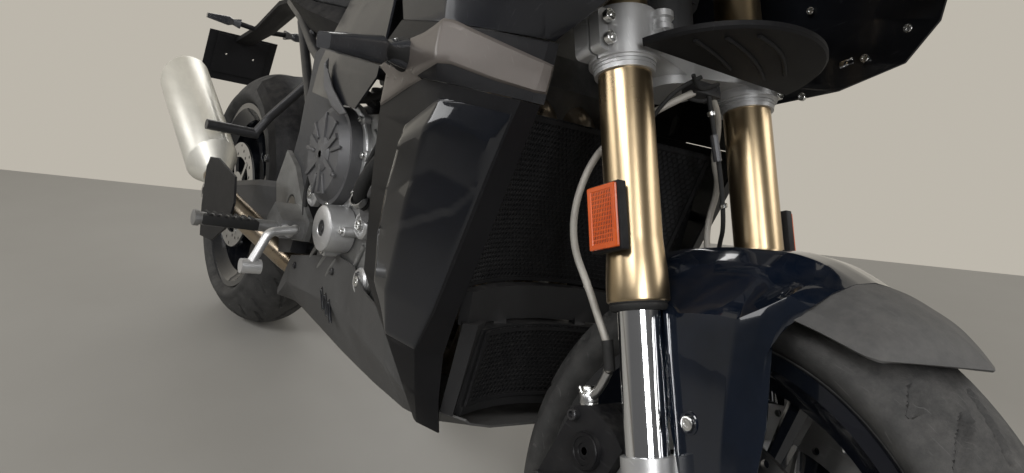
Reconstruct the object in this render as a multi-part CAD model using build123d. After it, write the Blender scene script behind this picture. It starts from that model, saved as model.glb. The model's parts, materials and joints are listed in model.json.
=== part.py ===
"""Sport touring motorcycle, parked on its side stand.

The pieces are modelled upright, in a riding frame: +X forward, +Y to the rider's left, +Z up,
with the ground at z = 0 and x = 0 midway between the axles.  At the end every piece is leaned
over on to the side stand and moved so that the origin is at the bottom centre of the whole.
Steered pieces are modelled in a fork frame: origin on the front axle, +Z up along the fork tubes,
+X square to the tubes and forward.  Sizes are in millimetres.
"""
from build123d import *
import math
import os

os.makedirs("parts", exist_ok=True)

# driving dimensions of the whole machine
WHEELBASE = 1522.0
RAKE = 24.9
FRONT_TYRE_R = 300.0
FRONT_TYRE_W = 120.0
FRONT_CROWN_R = 62.0
REAR_TYRE_R = 320.5
REAR_TYRE_W = 190.0
REAR_CROWN_R = 100.0
BEAD_R = 222.0
FLANGE_H = 12.0
LEAN = 13.5

FRONT_X = WHEELBASE / 2
REAR_X = -WHEELBASE / 2

# fork, measured along the tubes from the axle
FORK_SPACING = 208.0
TUBE_X = -5.0
STEM_SETBACK = 27.0
INNER_TUBE_R = 21.5
OUTER_TUBE_R = 27.7
BELL_R = 30.9
CASTING_R = 26.0
CASTING_TOP = 119.0
BELL_BOTTOM = 263.0
BELL_TOP = 322.0
LOWER_CLAMP_Z = 508.0
LOWER_CLAMP_H = 52.0
UPPER_CLAMP_Z = 728.0
UPPER_CLAMP_H = 30.0
FORK_TOP = 790.0
AXLE_R = 12.5
FIT = 0.3
STEM_X = TUBE_X - STEM_SETBACK
STEER_MAX = 30.0

FRONT_AXLE = Vector(FRONT_X, 0, FRONT_TYRE_R)
REAR_AXLE = Vector(REAR_X, 0, REAR_TYRE_R)
FORK_FRAME = Pos(*FRONT_AXLE) * Rot(0, -RAKE, 0)


# small builders shared by the pieces
def side_plate(outline, y0, y1):
    """A side-view outline of (x, z) points, solid from y0 to y1."""
    ring = Polyline(*[(x, y0, z) for x, z in outline], close=True)
    return extrude(make_face(ring), amount=y1 - y0, dir=(0, 1, 0))


def flat_plate(outline, z0, z1):
    """A top-view outline of (x, y) points, solid from z0 to z1."""
    ring = Polyline(*[(x, y, z0) for x, y in outline], close=True)
    return extrude(make_face(ring), amount=z1 - z0, dir=(0, 0, 1))


def rod(start, end, r, r_end=None):
    """A round bar, or a cone where r_end is given, from one point to another."""
    a, b = Vector(*start), Vector(*end)
    place = Plane(origin=a, z_dir=(b - a))
    length = (b - a).length
    base = [Align.CENTER, Align.CENTER, Align.MIN]
    if r_end is None:
        return place.location * Cylinder(r, length, align=base)
    return place.location * Cone(r, r_end, length, align=base)


def pipe(points, radii, r, bore=0.0):
    """A round tube along straight runs joined by arcs."""
    path = FilletPolyline(*points, radius=radii)
    start = Plane(origin=path @ 0, z_dir=path % 0)
    solid = sweep(start * Circle(r), path=path)
    if bore:
        solid -= sweep(start * Circle(bore), path=path)
    return solid


def both(piece):
    """A piece with its mirror image on the other side, as separate solids."""
    return [piece, mirror(piece, about=Plane.XZ)]


def ruled(sections):
    """A solid with flat-sided walls through closed rings of points, all with as many points."""
    return Solid.make_loft([Wire.make_polygon(s, close=True) for s in sections], ruled=True)


def offset_line(line, wall):
    """An open 2D line moved sideways by a wall, to the left of its direction."""
    out = []
    for i, p in enumerate(line):
        a, b = line[max(i - 1, 0)], line[min(i + 1, len(line) - 1)]
        normals = []
        for s, e in ((a, p), (p, b)):
            dx, dy = e[0] - s[0], e[1] - s[1]
            size = math.hypot(dx, dy)
            if size > 1e-6:
                normals.append((-dy / size, dx / size))
        nx = sum(n[0] for n in normals)
        ny = sum(n[1] for n in normals)
        size = math.hypot(nx, ny)
        nx, ny = nx / size, ny / size
        share = nx * normals[0][0] + ny * normals[0][1]
        out.append((p[0] + nx * wall / share, p[1] + ny * wall / share))
    return out


def skin_z(rows, wall):
    """A panel through plan lines (x, y) at several heights, wall thick on the line's left side."""
    rings = []
    for z, line in rows:
        back = offset_line(line, wall)
        rings.append([(x, y, z) for x, y in line] + [(x, y, z) for x, y in reversed(back)])
    return ruled(rings)


def skin_x(rows, wall):
    """A panel through cross lines (y, z) at several stations x, wall thick on the line's left."""
    rings = []
    for x, line in rows:
        back = offset_line(line, wall)
        rings.append([(x, y, z) for y, z in line] + [(x, y, z) for y, z in reversed(back)])
    return ruled(rings)


def hull_x(rows):
    """A closed body through half cross-sections (y, z) at stations x, mirrored about the middle."""
    rings = []
    for x, line in rows:
        half = [(x, y, z) for y, z in line]
        other = [(x, -y, z) for y, z in reversed(line) if y > 0.01]
        rings.append(half + other)
    return ruled(rings)


# wheels
CARRIER_HALF = 3.6


def tyre_ring(radius, width, crown_r, bead_y, carcass=9.0):
    """A tyre about the Y axis: crown arc, sidewalls to the beads, and a hollow inside."""
    sweep_deg = 62.0
    shoulder_y = crown_r * math.sin(math.radians(sweep_deg))
    shoulder_r = radius - crown_r + crown_r * math.cos(math.radians(sweep_deg))
    flange_r = BEAD_R + FLANGE_H
    neck_r = flange_r + carcass
    bulge_r = (shoulder_r + flange_r) / 2
    bulge_y = width / 2
    crown = ThreePointArc((-shoulder_y, shoulder_r), (0, radius), (shoulder_y, shoulder_r))
    right = ThreePointArc((shoulder_y, shoulder_r), (bulge_y, bulge_r), (bead_y, flange_r))
    left = ThreePointArc((-bead_y, flange_r), (-bulge_y, bulge_r), (-shoulder_y, shoulder_r))
    inner_crown = ThreePointArc(
        (-shoulder_y + carcass, shoulder_r - carcass), (0, radius - carcass - 3),
        (shoulder_y - carcass, shoulder_r - carcass))
    inner_right = ThreePointArc(
        (shoulder_y - carcass, shoulder_r - carcass), (bulge_y - carcass, bulge_r),
        (bead_y - carcass, neck_r))
    inner_left = ThreePointArc(
        (-bead_y + carcass, neck_r), (-bulge_y + carcass, bulge_r),
        (-shoulder_y + carcass, shoulder_r - carcass))
    feet = []
    for s in (-1, 1):
        foot = Polyline((s * bead_y, flange_r), (s * bead_y, BEAD_R), (s * (bead_y - carcass), BEAD_R),
                        (s * (bead_y - carcass), neck_r))
        feet += foot.edges()
    ring = Wire([crown, right, inner_right, inner_crown, inner_left, left] + feet)
    face = Plane.YZ * make_face(ring)
    return revolve(face, axis=Axis.Y)


def rim(bead_y, hub_r, hub_half, bore_r, spoke_y, spokes=5, fork_deg=13.0):
    """A cast wheel about the Y axis: barrel with flanges, hub, and pairs of slim spokes."""
    lip = bead_y + 6
    wall = bead_y + FIT
    edge = BEAD_R + FLANGE_H - 1
    profile = Polyline(
        (-lip, edge), (-wall, edge), (-wall, BEAD_R - FIT), (-bead_y + 11, BEAD_R - FIT),
        (-bead_y + 22, 202), (bead_y - 22, 202), (bead_y - 11, BEAD_R - FIT), (wall, BEAD_R - FIT),
        (wall, edge), (lip, edge), (lip, BEAD_R - 2), (bead_y - 8, 207), (bead_y - 18, 194),
        (-bead_y + 18, 194), (-bead_y + 8, 207), (-lip, BEAD_R - 2), close=True)
    wheel = revolve(Plane.YZ * make_face(profile), axis=Axis.Y)
    hub = Rot(90, 0, 0) * (Cylinder(hub_r, 2 * hub_half) - Cylinder(bore_r, 2 * hub_half + 2))
    wheel += hub
    arms = []
    for i in range(spokes):
        for side in (-1, 1):
            root_a = math.radians(i * 360 / spokes + side * fork_deg * 0.75)
            tip_a = math.radians(i * 360 / spokes + side * fork_deg)
            rings = []
            for r, a, half_w, half_y in (
                    (hub_r - 6, root_a, 11, spoke_y), (118, (root_a + tip_a) / 2, 8, spoke_y * 0.7),
                    (198, tip_a, 12, spoke_y * 0.85)):
                c, s = math.cos(a), math.sin(a)
                edge = half_w * 0.45
                shape = [(-half_w, -half_y * 0.55), (-edge, -half_y), (edge, -half_y),
                         (half_w, -half_y * 0.55), (half_w, half_y * 0.55), (edge, half_y),
                         (-edge, half_y), (-half_w, half_y * 0.55)]
                rings.append([(r * c - w * s, y, r * s + w * c) for w, y in shape])
            arms.append(ruled(rings))
    for arm in arms:
        wheel += arm
    return wheel


def brake_disc(y, rotor_r, rotor_in, carrier_r, thick=4.5, holes=36, arms=10):
    """A floating disc about the Y axis: drilled rotor, arms, and a ring bolted to the hub."""
    rotor = Circle(rotor_r) - Circle(rotor_in)
    band = (rotor_r + rotor_in) / 2
    for i in range(holes):
        reach = band + (rotor_r - rotor_in) * (-0.28, 0.0, 0.28)[i % 3]
        rotor -= Rot(0, 0, i * 360 / holes) * Pos(reach, 0) * Circle(4)
    plate = Circle(carrier_r) - Circle(carrier_r - 22)
    for i in range(arms):
        spoke = Pos((rotor_in + carrier_r) / 2, 0) * Rectangle(rotor_in - carrier_r + 16, 11)
        bobbin = Pos(rotor_in, 0) * Circle(7.5)
        plate += Rot(0, 0, i * 360 / arms) * (spoke + bobbin)
    disc = extrude(rotor, amount=thick / 2, both=True)
    disc += extrude(plate, amount=CARRIER_HALF, both=True)
    return Pos(0, y, 0) * Rot(90, 0, 0) * disc


# wheels, each about the Y axis through its axle
FRONT_BEAD_Y = 44.5
REAR_BEAD_Y = 76.0
FRONT_DISC_R = 160.0
FRONT_DISC_Y = 67.0
REAR_DISC_R = 132.5
REAR_DISC_Y = -84.0
FRONT_HUB_HALF = 60.0
REAR_HUB_HALF = 66.0
FRONT_HUB_R = 36.0
REAR_HUB_R = 46.0
REAR_AXLE_R = 14.0
CHAIN_Y = 110.0
CHAIN_W = 17.0
CHAIN_PITCH = 15.875
ROLLER_R = 5.1
TOOTH_GAP = 1.3
REAR_TEETH = 45
FRONT_TEETH = 17
REAR_PITCH_R = CHAIN_PITCH / (2 * math.sin(math.pi / REAR_TEETH))
FRONT_PITCH_R = CHAIN_PITCH / (2 * math.sin(math.pi / FRONT_TEETH))


def hub_flange(y, r, thick, bore):
    """A round seat on a hub's end, for a disc or a sprocket carrier."""
    return Pos(0, y, 0) * Rot(90, 0, 0) * (Cylinder(r, thick) - Cylinder(bore, thick + 1))


def front_wheel():
    """Tyre, cast rim and twin discs, turning on the front axle."""
    bore = AXLE_R + FIT
    tyre = tyre_ring(FRONT_TYRE_R, FRONT_TYRE_W, FRONT_CROWN_R, FRONT_BEAD_Y)
    cast = rim(FRONT_BEAD_Y, FRONT_HUB_R, FRONT_HUB_HALF, bore, 17)
    discs = [brake_disc(s * FRONT_DISC_Y, FRONT_DISC_R, 122, 62) for s in (-1, 1)]
    seat = FRONT_DISC_Y - CARRIER_HALF - (FRONT_HUB_HALF - 4)
    for s in (-1, 1):
        cast += hub_flange(s * (FRONT_HUB_HALF - 4 + seat / 2), 60, seat, bore)
    return {"front_tyre": tyre, "front_rim": cast, "front_discs": discs}


def toothed_disc(teeth, pitch_r, thick, bore_r):
    """A flat sprocket whose teeth stand between the side plates of the chain."""
    tip = pitch_r - ROLLER_R - TOOTH_GAP
    root = tip - 6
    points = []
    for i in range(teeth):
        for share, r in ((0.12, root), (0.38, tip), (0.62, tip), (0.88, root)):
            a = 2 * math.pi * (i + share) / teeth
            points.append((r * math.cos(a), r * math.sin(a)))
    outline = make_face(Polyline(*points, close=True))
    return extrude(outline - Circle(bore_r), amount=thick / 2, both=True)


def rear_wheel():
    """Tyre, cast rim, one disc on the right and the driven sprocket with its carrier on the left."""
    bore = REAR_AXLE_R + FIT
    tyre = tyre_ring(REAR_TYRE_R, REAR_TYRE_W, REAR_CROWN_R, REAR_BEAD_Y)
    cast = rim(REAR_BEAD_Y, REAR_HUB_R, REAR_HUB_HALF, bore, 22)
    seat = -REAR_DISC_Y - CARRIER_HALF - (REAR_HUB_HALF - 4)
    cast += hub_flange(-(REAR_HUB_HALF - 4 + seat / 2), 56, seat, bore)
    disc = brake_disc(REAR_DISC_Y, REAR_DISC_R, 96, 58, thick=5, holes=30, arms=6)
    sprocket = toothed_disc(REAR_TEETH, REAR_PITCH_R, 6, 44)
    for i in range(5):
        sprocket -= Rot(0, 0, i * 72) * Pos(76, 0) * Cylinder(17, 20)
    plate_r = 64
    carrier_in = REAR_HUB_HALF + FIT
    carrier = Pos(0, (CHAIN_Y - 3 + carrier_in) / 2, 0) * Rot(90, 0, 0) * (
        Cylinder(plate_r, CHAIN_Y - 3 - carrier_in) - Cylinder(bore, 60))
    driven = Pos(0, CHAIN_Y, 0) * Rot(90, 0, 0) * sprocket
    return {"rear_tyre": tyre, "rear_rim": cast, "rear_disc": disc, "rear_sprocket": driven + carrier}


# steered pieces, in the fork frame
def fork_legs():
    """Upside-down fork: outer tubes with flared ends, seals, bright inner tubes, axle castings."""
    outer = Polyline(
        (INNER_TUBE_R + FIT, BELL_BOTTOM), (BELL_R - 1.5, BELL_BOTTOM), (BELL_R, BELL_BOTTOM + 3),
        (BELL_R - 0.2, BELL_BOTTOM + 20), (BELL_R - 1.6, BELL_BOTTOM + 38),
        (OUTER_TUBE_R, BELL_TOP), (OUTER_TUBE_R, FORK_TOP), (0, FORK_TOP), (0, BELL_TOP + 60),
        (INNER_TUBE_R + FIT, BELL_TOP + 60), close=True)
    seal = Polyline(
        (INNER_TUBE_R + FIT, BELL_BOTTOM - 8), (BELL_R - 3.5, BELL_BOTTOM - 8),
        (BELL_R - 2, BELL_BOTTOM - 5), (BELL_R - 2, BELL_BOTTOM), (INNER_TUBE_R + FIT, BELL_BOTTOM),
        close=True)
    inner_foot = 60.0
    names = {}
    tube = revolve(Plane.XZ * make_face(outer), axis=Axis.Z)
    ring = revolve(Plane.XZ * make_face(seal), axis=Axis.Z)
    slider = Pos(0, 0, inner_foot) * Cylinder(
        INNER_TUBE_R, BELL_TOP + 58 - inner_foot, align=[Align.CENTER, Align.CENTER, Align.MIN])
    cap = Pos(0, 0, FORK_TOP) * extrude(RegularPolygon(17, 6), amount=9)
    at = [Pos(TUBE_X, s * FORK_SPACING / 2, 0) for s in (-1, 1)]
    names["fork_outer_tubes"] = [p * (tube + cap) for p in at]
    names["fork_dust_seals"] = [p * ring for p in at]
    names["fork_inner_tubes"] = [p * slider for p in at]
    names["fork_castings"] = both(axle_casting(inner_foot))
    return names


CALIPER_ANGLE = 137.0
CALIPER_FOOT_R = 108.0
CALIPER_TOP_R = 184.0
DISC_HALF = 2.25
PAD_GAP = 0.4


def around_axle(t, r):
    """A fork-frame (x, z) point at radius r, moved t along the disc's edge from the caliper."""
    a = math.radians(CALIPER_ANGLE)
    return (r * math.cos(a) - t * math.sin(a), r * math.sin(a) + t * math.cos(a))


def caliper(side, disc_y, foot_r, top_r, outer_y, inner_y, half_len):
    """A monobloc caliper: two halves, a bridge over the disc, pads, piston caps and end ears."""
    half = [(-half_len + 6, foot_r), (-half_len, foot_r + 22), (-half_len + 4, top_r - 16),
            (-half_len + 20, top_r), (half_len - 20, top_r), (half_len - 4, top_r - 16),
            (half_len, foot_r + 22), (half_len - 6, foot_r)]
    outline = [around_axle(t, r) for t, r in half]
    face_out = disc_y + DISC_HALF + PAD_GAP + 6
    face_in = disc_y - DISC_HALF - PAD_GAP - 6
    body = side_plate(outline, face_out, outer_y) + side_plate(outline, inner_y, face_in)
    bridge = [around_axle(t, r) for t, r in (
        (-half_len + 16, top_r - 22), (-half_len + 20, top_r), (-18, top_r), (-18, top_r - 22))]
    other = [around_axle(-t, r) for t, r in (
        (-half_len + 16, top_r - 22), (-half_len + 20, top_r), (-18, top_r), (-18, top_r - 22))]
    body += side_plate(bridge, inner_y, outer_y) + side_plate(other, inner_y, outer_y)
    pad = [around_axle(t, r) for t, r in (
        (-half_len + 18, foot_r + 25), (-half_len + 18, top_r - 27), (half_len - 18, top_r - 27),
        (half_len - 18, foot_r + 25))]
    body += side_plate(pad, disc_y + DISC_HALF + PAD_GAP, face_out + 1)
    body += side_plate(pad, face_in - 1, disc_y - DISC_HALF - PAD_GAP)
    for t in (-half_len * 0.42, half_len * 0.42):
        x, z = around_axle(t, (foot_r + top_r) / 2 - 4)
        body += Pos(x, outer_y, z) * Rot(90, 0, 0) * Cylinder(20, 9)
    return body if side > 0 else mirror(body, about=Plane.XZ)


def axle_casting(inner_foot):
    """The right fork foot: sleeve, axle boss with pinch ears, caliper lugs and a mudguard arm."""
    y = -FORK_SPACING / 2
    sleeve = Pos(TUBE_X, y, inner_foot) * Cylinder(
        CASTING_R, CASTING_TOP - inner_foot, align=[Align.CENTER, Align.CENTER, Align.MIN])
    neck = Pos(TUBE_X, y, 0) * loft([
        Pos(0, 0, -26) * Rectangle(44, 40), Pos(0, 0, inner_foot) * Circle(CASTING_R)])
    boss = Pos(0, y, 0) * Rot(90, 0, 0) * Cylinder(27, 46)
    whole = sleeve + neck + boss
    whole += side_plate([(-24, -44), (16, -44), (16, -14), (-24, -14)], y - 14, y + 14)
    seat = CALIPER_FOOT_R - FIT
    top_lug = [around_axle(-62, seat), around_axle(-30, seat), around_axle(-30, seat - 15),
               (TUBE_X - 15, 66), (TUBE_X - 15, CASTING_TOP)]
    low_lug = [(TUBE_X - 15, 30), (-60, 24), around_axle(30, seat - 14), around_axle(30, seat),
               around_axle(62, seat), around_axle(62, seat - 15), (-70, -6), (TUBE_X - 15, -18)]
    whole += side_plate(top_lug, y + 8, y + 24)
    whole += side_plate(low_lug, y + 8, y + 24)
    arm = [(TUBE_X + 12, 70), (26, 78), (38, 160), (38, 192), (26, 196), (TUBE_X + 25, 150),
           (TUBE_X + 23, CASTING_TOP), (TUBE_X + 12, CASTING_TOP)]
    whole += side_plate(arm, -WING_Y - FIT - 7, -WING_Y - FIT)
    whole -= Pos(TUBE_X, y, inner_foot) * Cylinder(
        INNER_TUBE_R + 0.05, 80, align=[Align.CENTER, Align.CENTER, Align.MIN])
    whole -= Pos(0, y, 0) * Rot(90, 0, 0) * Cylinder(AXLE_R + 0.05, 80)
    whole -= Pos(-2, y, -32) * Box(4, 60, 40)
    return whole


def front_axle():
    """A hollow axle through both castings, with spacers beside the hub and a hex end."""
    half = FORK_SPACING / 2 + 24
    bar = Rot(90, 0, 0) * (Cylinder(AXLE_R, 2 * half) - Cylinder(8, 2 * half + 2))
    inner = FRONT_DISC_Y - CARRIER_HALF + 1.0
    outer = FORK_SPACING / 2 - 23.3
    for s in (-1, 1):
        ring = Cylinder(18, outer - inner) - Cylinder(AXLE_R - 0.5, 60)
        bar += Pos(0, s * (inner + outer) / 2, 0) * Rot(90, 0, 0) * ring
    head = extrude(RegularPolygon(15, 6) - Circle(8), amount=6)
    return bar + Pos(0, -half, 0) * Rot(90, 0, 0) * head


def triple_clamps():
    """Lower and upper fork yokes, with pinch bosses, collars under the lower one, and the stem."""
    y = FORK_SPACING / 2
    ring_r = OUTER_TUBE_R + 9
    names = {}
    for name, base, height, web_half in (
            ("lower_clamp", LOWER_CLAMP_Z, LOWER_CLAMP_H, 30),
            ("upper_clamp", UPPER_CLAMP_Z, UPPER_CLAMP_H, 24)):
        yoke = Pos(STEM_X, 0, base) * Cylinder(
            34, height, align=[Align.CENTER, Align.CENTER, Align.MIN])
        for s in (-1, 1):
            yoke += Pos(TUBE_X, s * y, base) * Cylinder(
                ring_r, height, align=[Align.CENTER, Align.CENTER, Align.MIN])
            arm = [(STEM_X - web_half, 0), (STEM_X + web_half, 0), (TUBE_X + 26, s * (y - 22)),
                   (TUBE_X - 26, s * (y - 18))]
            if s < 0:
                arm.reverse()
            yoke += flat_plate(arm, base + height * 0.2, base + height * 0.86)
            lug = fillet((Box(36, 22, height * 0.86)).edges().filter_by(Axis.X), 6)
            yoke += Pos(TUBE_X - 5, s * (y + ring_r - 1), base + height / 2) * lug
        for s in (-1, 1):
            yoke -= Pos(TUBE_X - 2, s * (y + ring_r + 2), base + height / 2) * Box(3, 34, height + 2)
        names[name] = yoke
    for s in (-1, 1):
        for k in range(3):
            collar = Cylinder(OUTER_TUBE_R + 5.5 - k * 0.8, 3.2) - Cylinder(OUTER_TUBE_R + 0.05, 5)
            names["lower_clamp"] += Pos(TUBE_X, s * y, LOWER_CLAMP_Z - 1.2 - k * 3.6) * collar
            groove = Cylinder(OUTER_TUBE_R + 3.6, 3.0) - Cylinder(OUTER_TUBE_R + 0.05, 5)
            names["lower_clamp"] += Pos(TUBE_X, s * y, LOWER_CLAMP_Z - 2.8 - k * 3.6) * groove
        stud = Pos(TUBE_X + 38, s * (y - 18), LOWER_CLAMP_Z + 34) * Cylinder(8, 30)
        stop = flat_plate([(TUBE_X + 24, s * (y - 32)), (TUBE_X + 46, s * (y - 26)),
                           (TUBE_X + 46, s * (y - 10)), (TUBE_X + 20, s * (y - 4))],
                          LOWER_CLAMP_Z + 14, LOWER_CLAMP_Z + 34)
        names["lower_clamp"] += stud + stop
    stem = Pos(STEM_X, 0, LOWER_CLAMP_Z) * Cylinder(
        14, UPPER_CLAMP_Z + UPPER_CLAMP_H + 14 - LOWER_CLAMP_Z,
        align=[Align.CENTER, Align.CENTER, Align.MIN])
    names["lower_clamp"] += stem
    for name in names:
        for s in (-1, 1):
            names[name] -= Pos(TUBE_X, s * y, BELL_TOP + 60) * Cylinder(
                OUTER_TUBE_R + 0.05, 450, align=[Align.CENTER, Align.CENTER, Align.MIN])
    names["upper_clamp"] -= Pos(STEM_X, 0, UPPER_CLAMP_Z - 5) * Cylinder(
        14.2, 60, align=[Align.CENTER, Align.CENTER, Align.MIN])
    return {"fork_yokes": [names["lower_clamp"], names["upper_clamp"]]}


WING_Y = 86.0
GUARD_R = 124.0
GUARD_Z = LOWER_CLAMP_Z + 4.0


def splash_guard():
    """A ribbed half-round tray ahead of the lower yoke, with its ribs underneath."""
    front = TUBE_X + OUTER_TUBE_R + 16
    disc = Pos(front - 22, 0, GUARD_Z) * Cylinder(GUARD_R, 3)
    back = Pos(front - 200, 0, GUARD_Z) * Box(400, 400, 10)
    tray = disc - back
    lip = Pos(front - 22, 0, GUARD_Z + 4) * (Cylinder(GUARD_R, 11) - Cylinder(GUARD_R - 3, 12))
    tray += lip - Pos(front - 200, 0, GUARD_Z) * Box(400, 400, 40)
    for a in (-58, -22, 14, 50):
        rib = Pos(GUARD_R * 0.5, 0, -4) * Box(GUARD_R * 0.92, 4, 7)
        rib = Pos(front - 22, 0, GUARD_Z) * Rot(0, 0, a) * rib
        tray += rib - Pos(front - 200, 0, GUARD_Z) * Box(400, 400, 40)
    tray += Pos(front - 3, 0, GUARD_Z - 4) * Box(6, GUARD_R * 1.7, 7)
    mount = flat_plate([(STEM_X, -20), (front + 10, -26), (front + 10, 26), (STEM_X, 20)],
                       GUARD_Z - 1.5 - 5, LOWER_CLAMP_Z - 0.3)
    return tray + mount


FENDER_WALL = 3.0


def arch(rows, wall):
    """A mudguard over the tyre: rows of (angle, half section (y, r)) about the axle, wall inward."""
    rings = []
    for angle, line in rows:
        c, s = math.cos(math.radians(angle)), math.sin(math.radians(angle))
        full = [(-y, r) for y, r in reversed(line[1:])] + line
        back = offset_line(full, -wall)
        full += reversed(back)
        rings.append([(r * c, y, r * s) for y, r in full])
    return ruled(rings)


def front_fender():
    """Mudguard over the tyre with a wing ahead of each fork leg."""
    narrow = [(0, 326), (28, 324), (48, 316), (60, 304), (67, 284)]
    wide = [(0, 327), (30, 325), (58, 316), (76, 300), (WING_Y, 264)]
    front = [(0, 331), (30, 328), (58, 318), (74, 303), (84, 280)]
    over = arch([(98, narrow), (85, narrow)], FENDER_WALL)
    over += arch([(85, narrow), (82, wide), (70, wide), (64, wide), (57, front)], FENDER_WALL)
    wing = [(19, 150), (19, 262), (38, 262), (90, 249), (129, 231), (126, 205), (112, 160),
            (96, 112), (80, 80), (54, 60), (26, 62), (19, 100)]
    sides = [side_plate(wing, WING_Y - FENDER_WALL, WING_Y)]
    sides.append(mirror(sides[0], about=Plane.XZ))
    for side in sides:
        over += side
    return over


def fender_extension():
    """A matt visor that laps over the front edge of the mudguard and runs on to its tip."""
    rows = [(62, [(0, 334.7), (32, 331.7), (61, 321.9), (87, 297)]),
            (56, [(0, 334.7), (32, 331.7), (61, 321.9), (87, 297)]),
            (50, [(0, 334.3), (32, 331.3), (61, 321.5), (87, 295)]),
            (43, [(0, 333), (30, 330), (58, 320), (84, 294)]),
            (35.5, [(0, 329), (20, 328), (34, 325), (42, 322)])]
    return arch(rows, FENDER_WALL)


HOSE_R = 4.6
CABLE_R = 2.6
REFLECTOR_Z = 344.0


def hoses():
    """Brake hoses held at the calipers and under the lower yoke, and the wheel sensor's cable."""
    y = FORK_SPACING / 2
    route = [(-82, -y + 5, 174), (-60, -y + 1, 189), (-47, -y - 2, 222), (-62, -y - 8, 275),
             (-86, -y - 9, 330), (-80, -y - 8, 385), (-48, -y - 4, 425), (-46, -y + 22, 446),
             (-14, -58, 468), (6, -32, 484), (12, -16, 492)]
    hose = pipe(route, [9, 16, 60, 60, 45, 20, 20, 20, 20], HOSE_R)
    ferrule = rod((-48, -y - 2, 200), (-47, -y - 2, 226), 6.2)
    banjo = Pos(-88, -y + 6, 170.6) * Cylinder(9.5, 11)
    right = hose + ferrule + banjo
    block = Pos(10, 0, (GUARD_Z - 7) - 8) * Box(22, 40, 14)
    left = mirror(right, about=Plane.XZ)
    cable = pipe([(18, 2, 489.7), (18, 6, 450), (13, 20, 396), (2, 32, 344), (-30, 62, 334),
                  (-52, 84, 300), (-48, y + 10, 236), (-40, y + 14, 170), (-37, y + 14, 112)],
                 [30, 30, 16, 12, 14, 20, 30], CABLE_R)
    return {"brake_hoses": [right + block + left, cable]}


def reflectors():
    """Amber reflectors in dark housings, one clamped to the outside of each fork tube."""
    y = -FORK_SPACING / 2
    housing = Box(40, 9, 66)
    saddle = Box(14, 16, 40)
    place = Pos(TUBE_X + 1, y - BELL_R - 5.2, REFLECTOR_Z)
    body = place * housing + Pos(TUBE_X, y - BELL_R + 3, REFLECTOR_Z + 2) * saddle
    body -= Pos(TUBE_X, y, REFLECTOR_Z) * Cylinder(OUTER_TUBE_R + 0.05, 100)
    lens = Pos(TUBE_X + 1, y - BELL_R - 5.2 - 4.5 - 2, REFLECTOR_Z) * Box(36, 4, 61)
    return {"reflectors": both(body + lens)}


def to_fork(x, y, z):
    """A riding-frame point in the fork frame."""
    a = math.radians(RAKE)
    dx, dz = x - FRONT_AXLE.X, z - FRONT_AXLE.Z
    return (dx * math.cos(a) + dz * math.sin(a), y, -dx * math.sin(a) + dz * math.cos(a))


BAR_X = 20.0
BAR_Z = 832.0
BAR_HALF = 395.0
GRIP_LEN = 118.0


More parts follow.
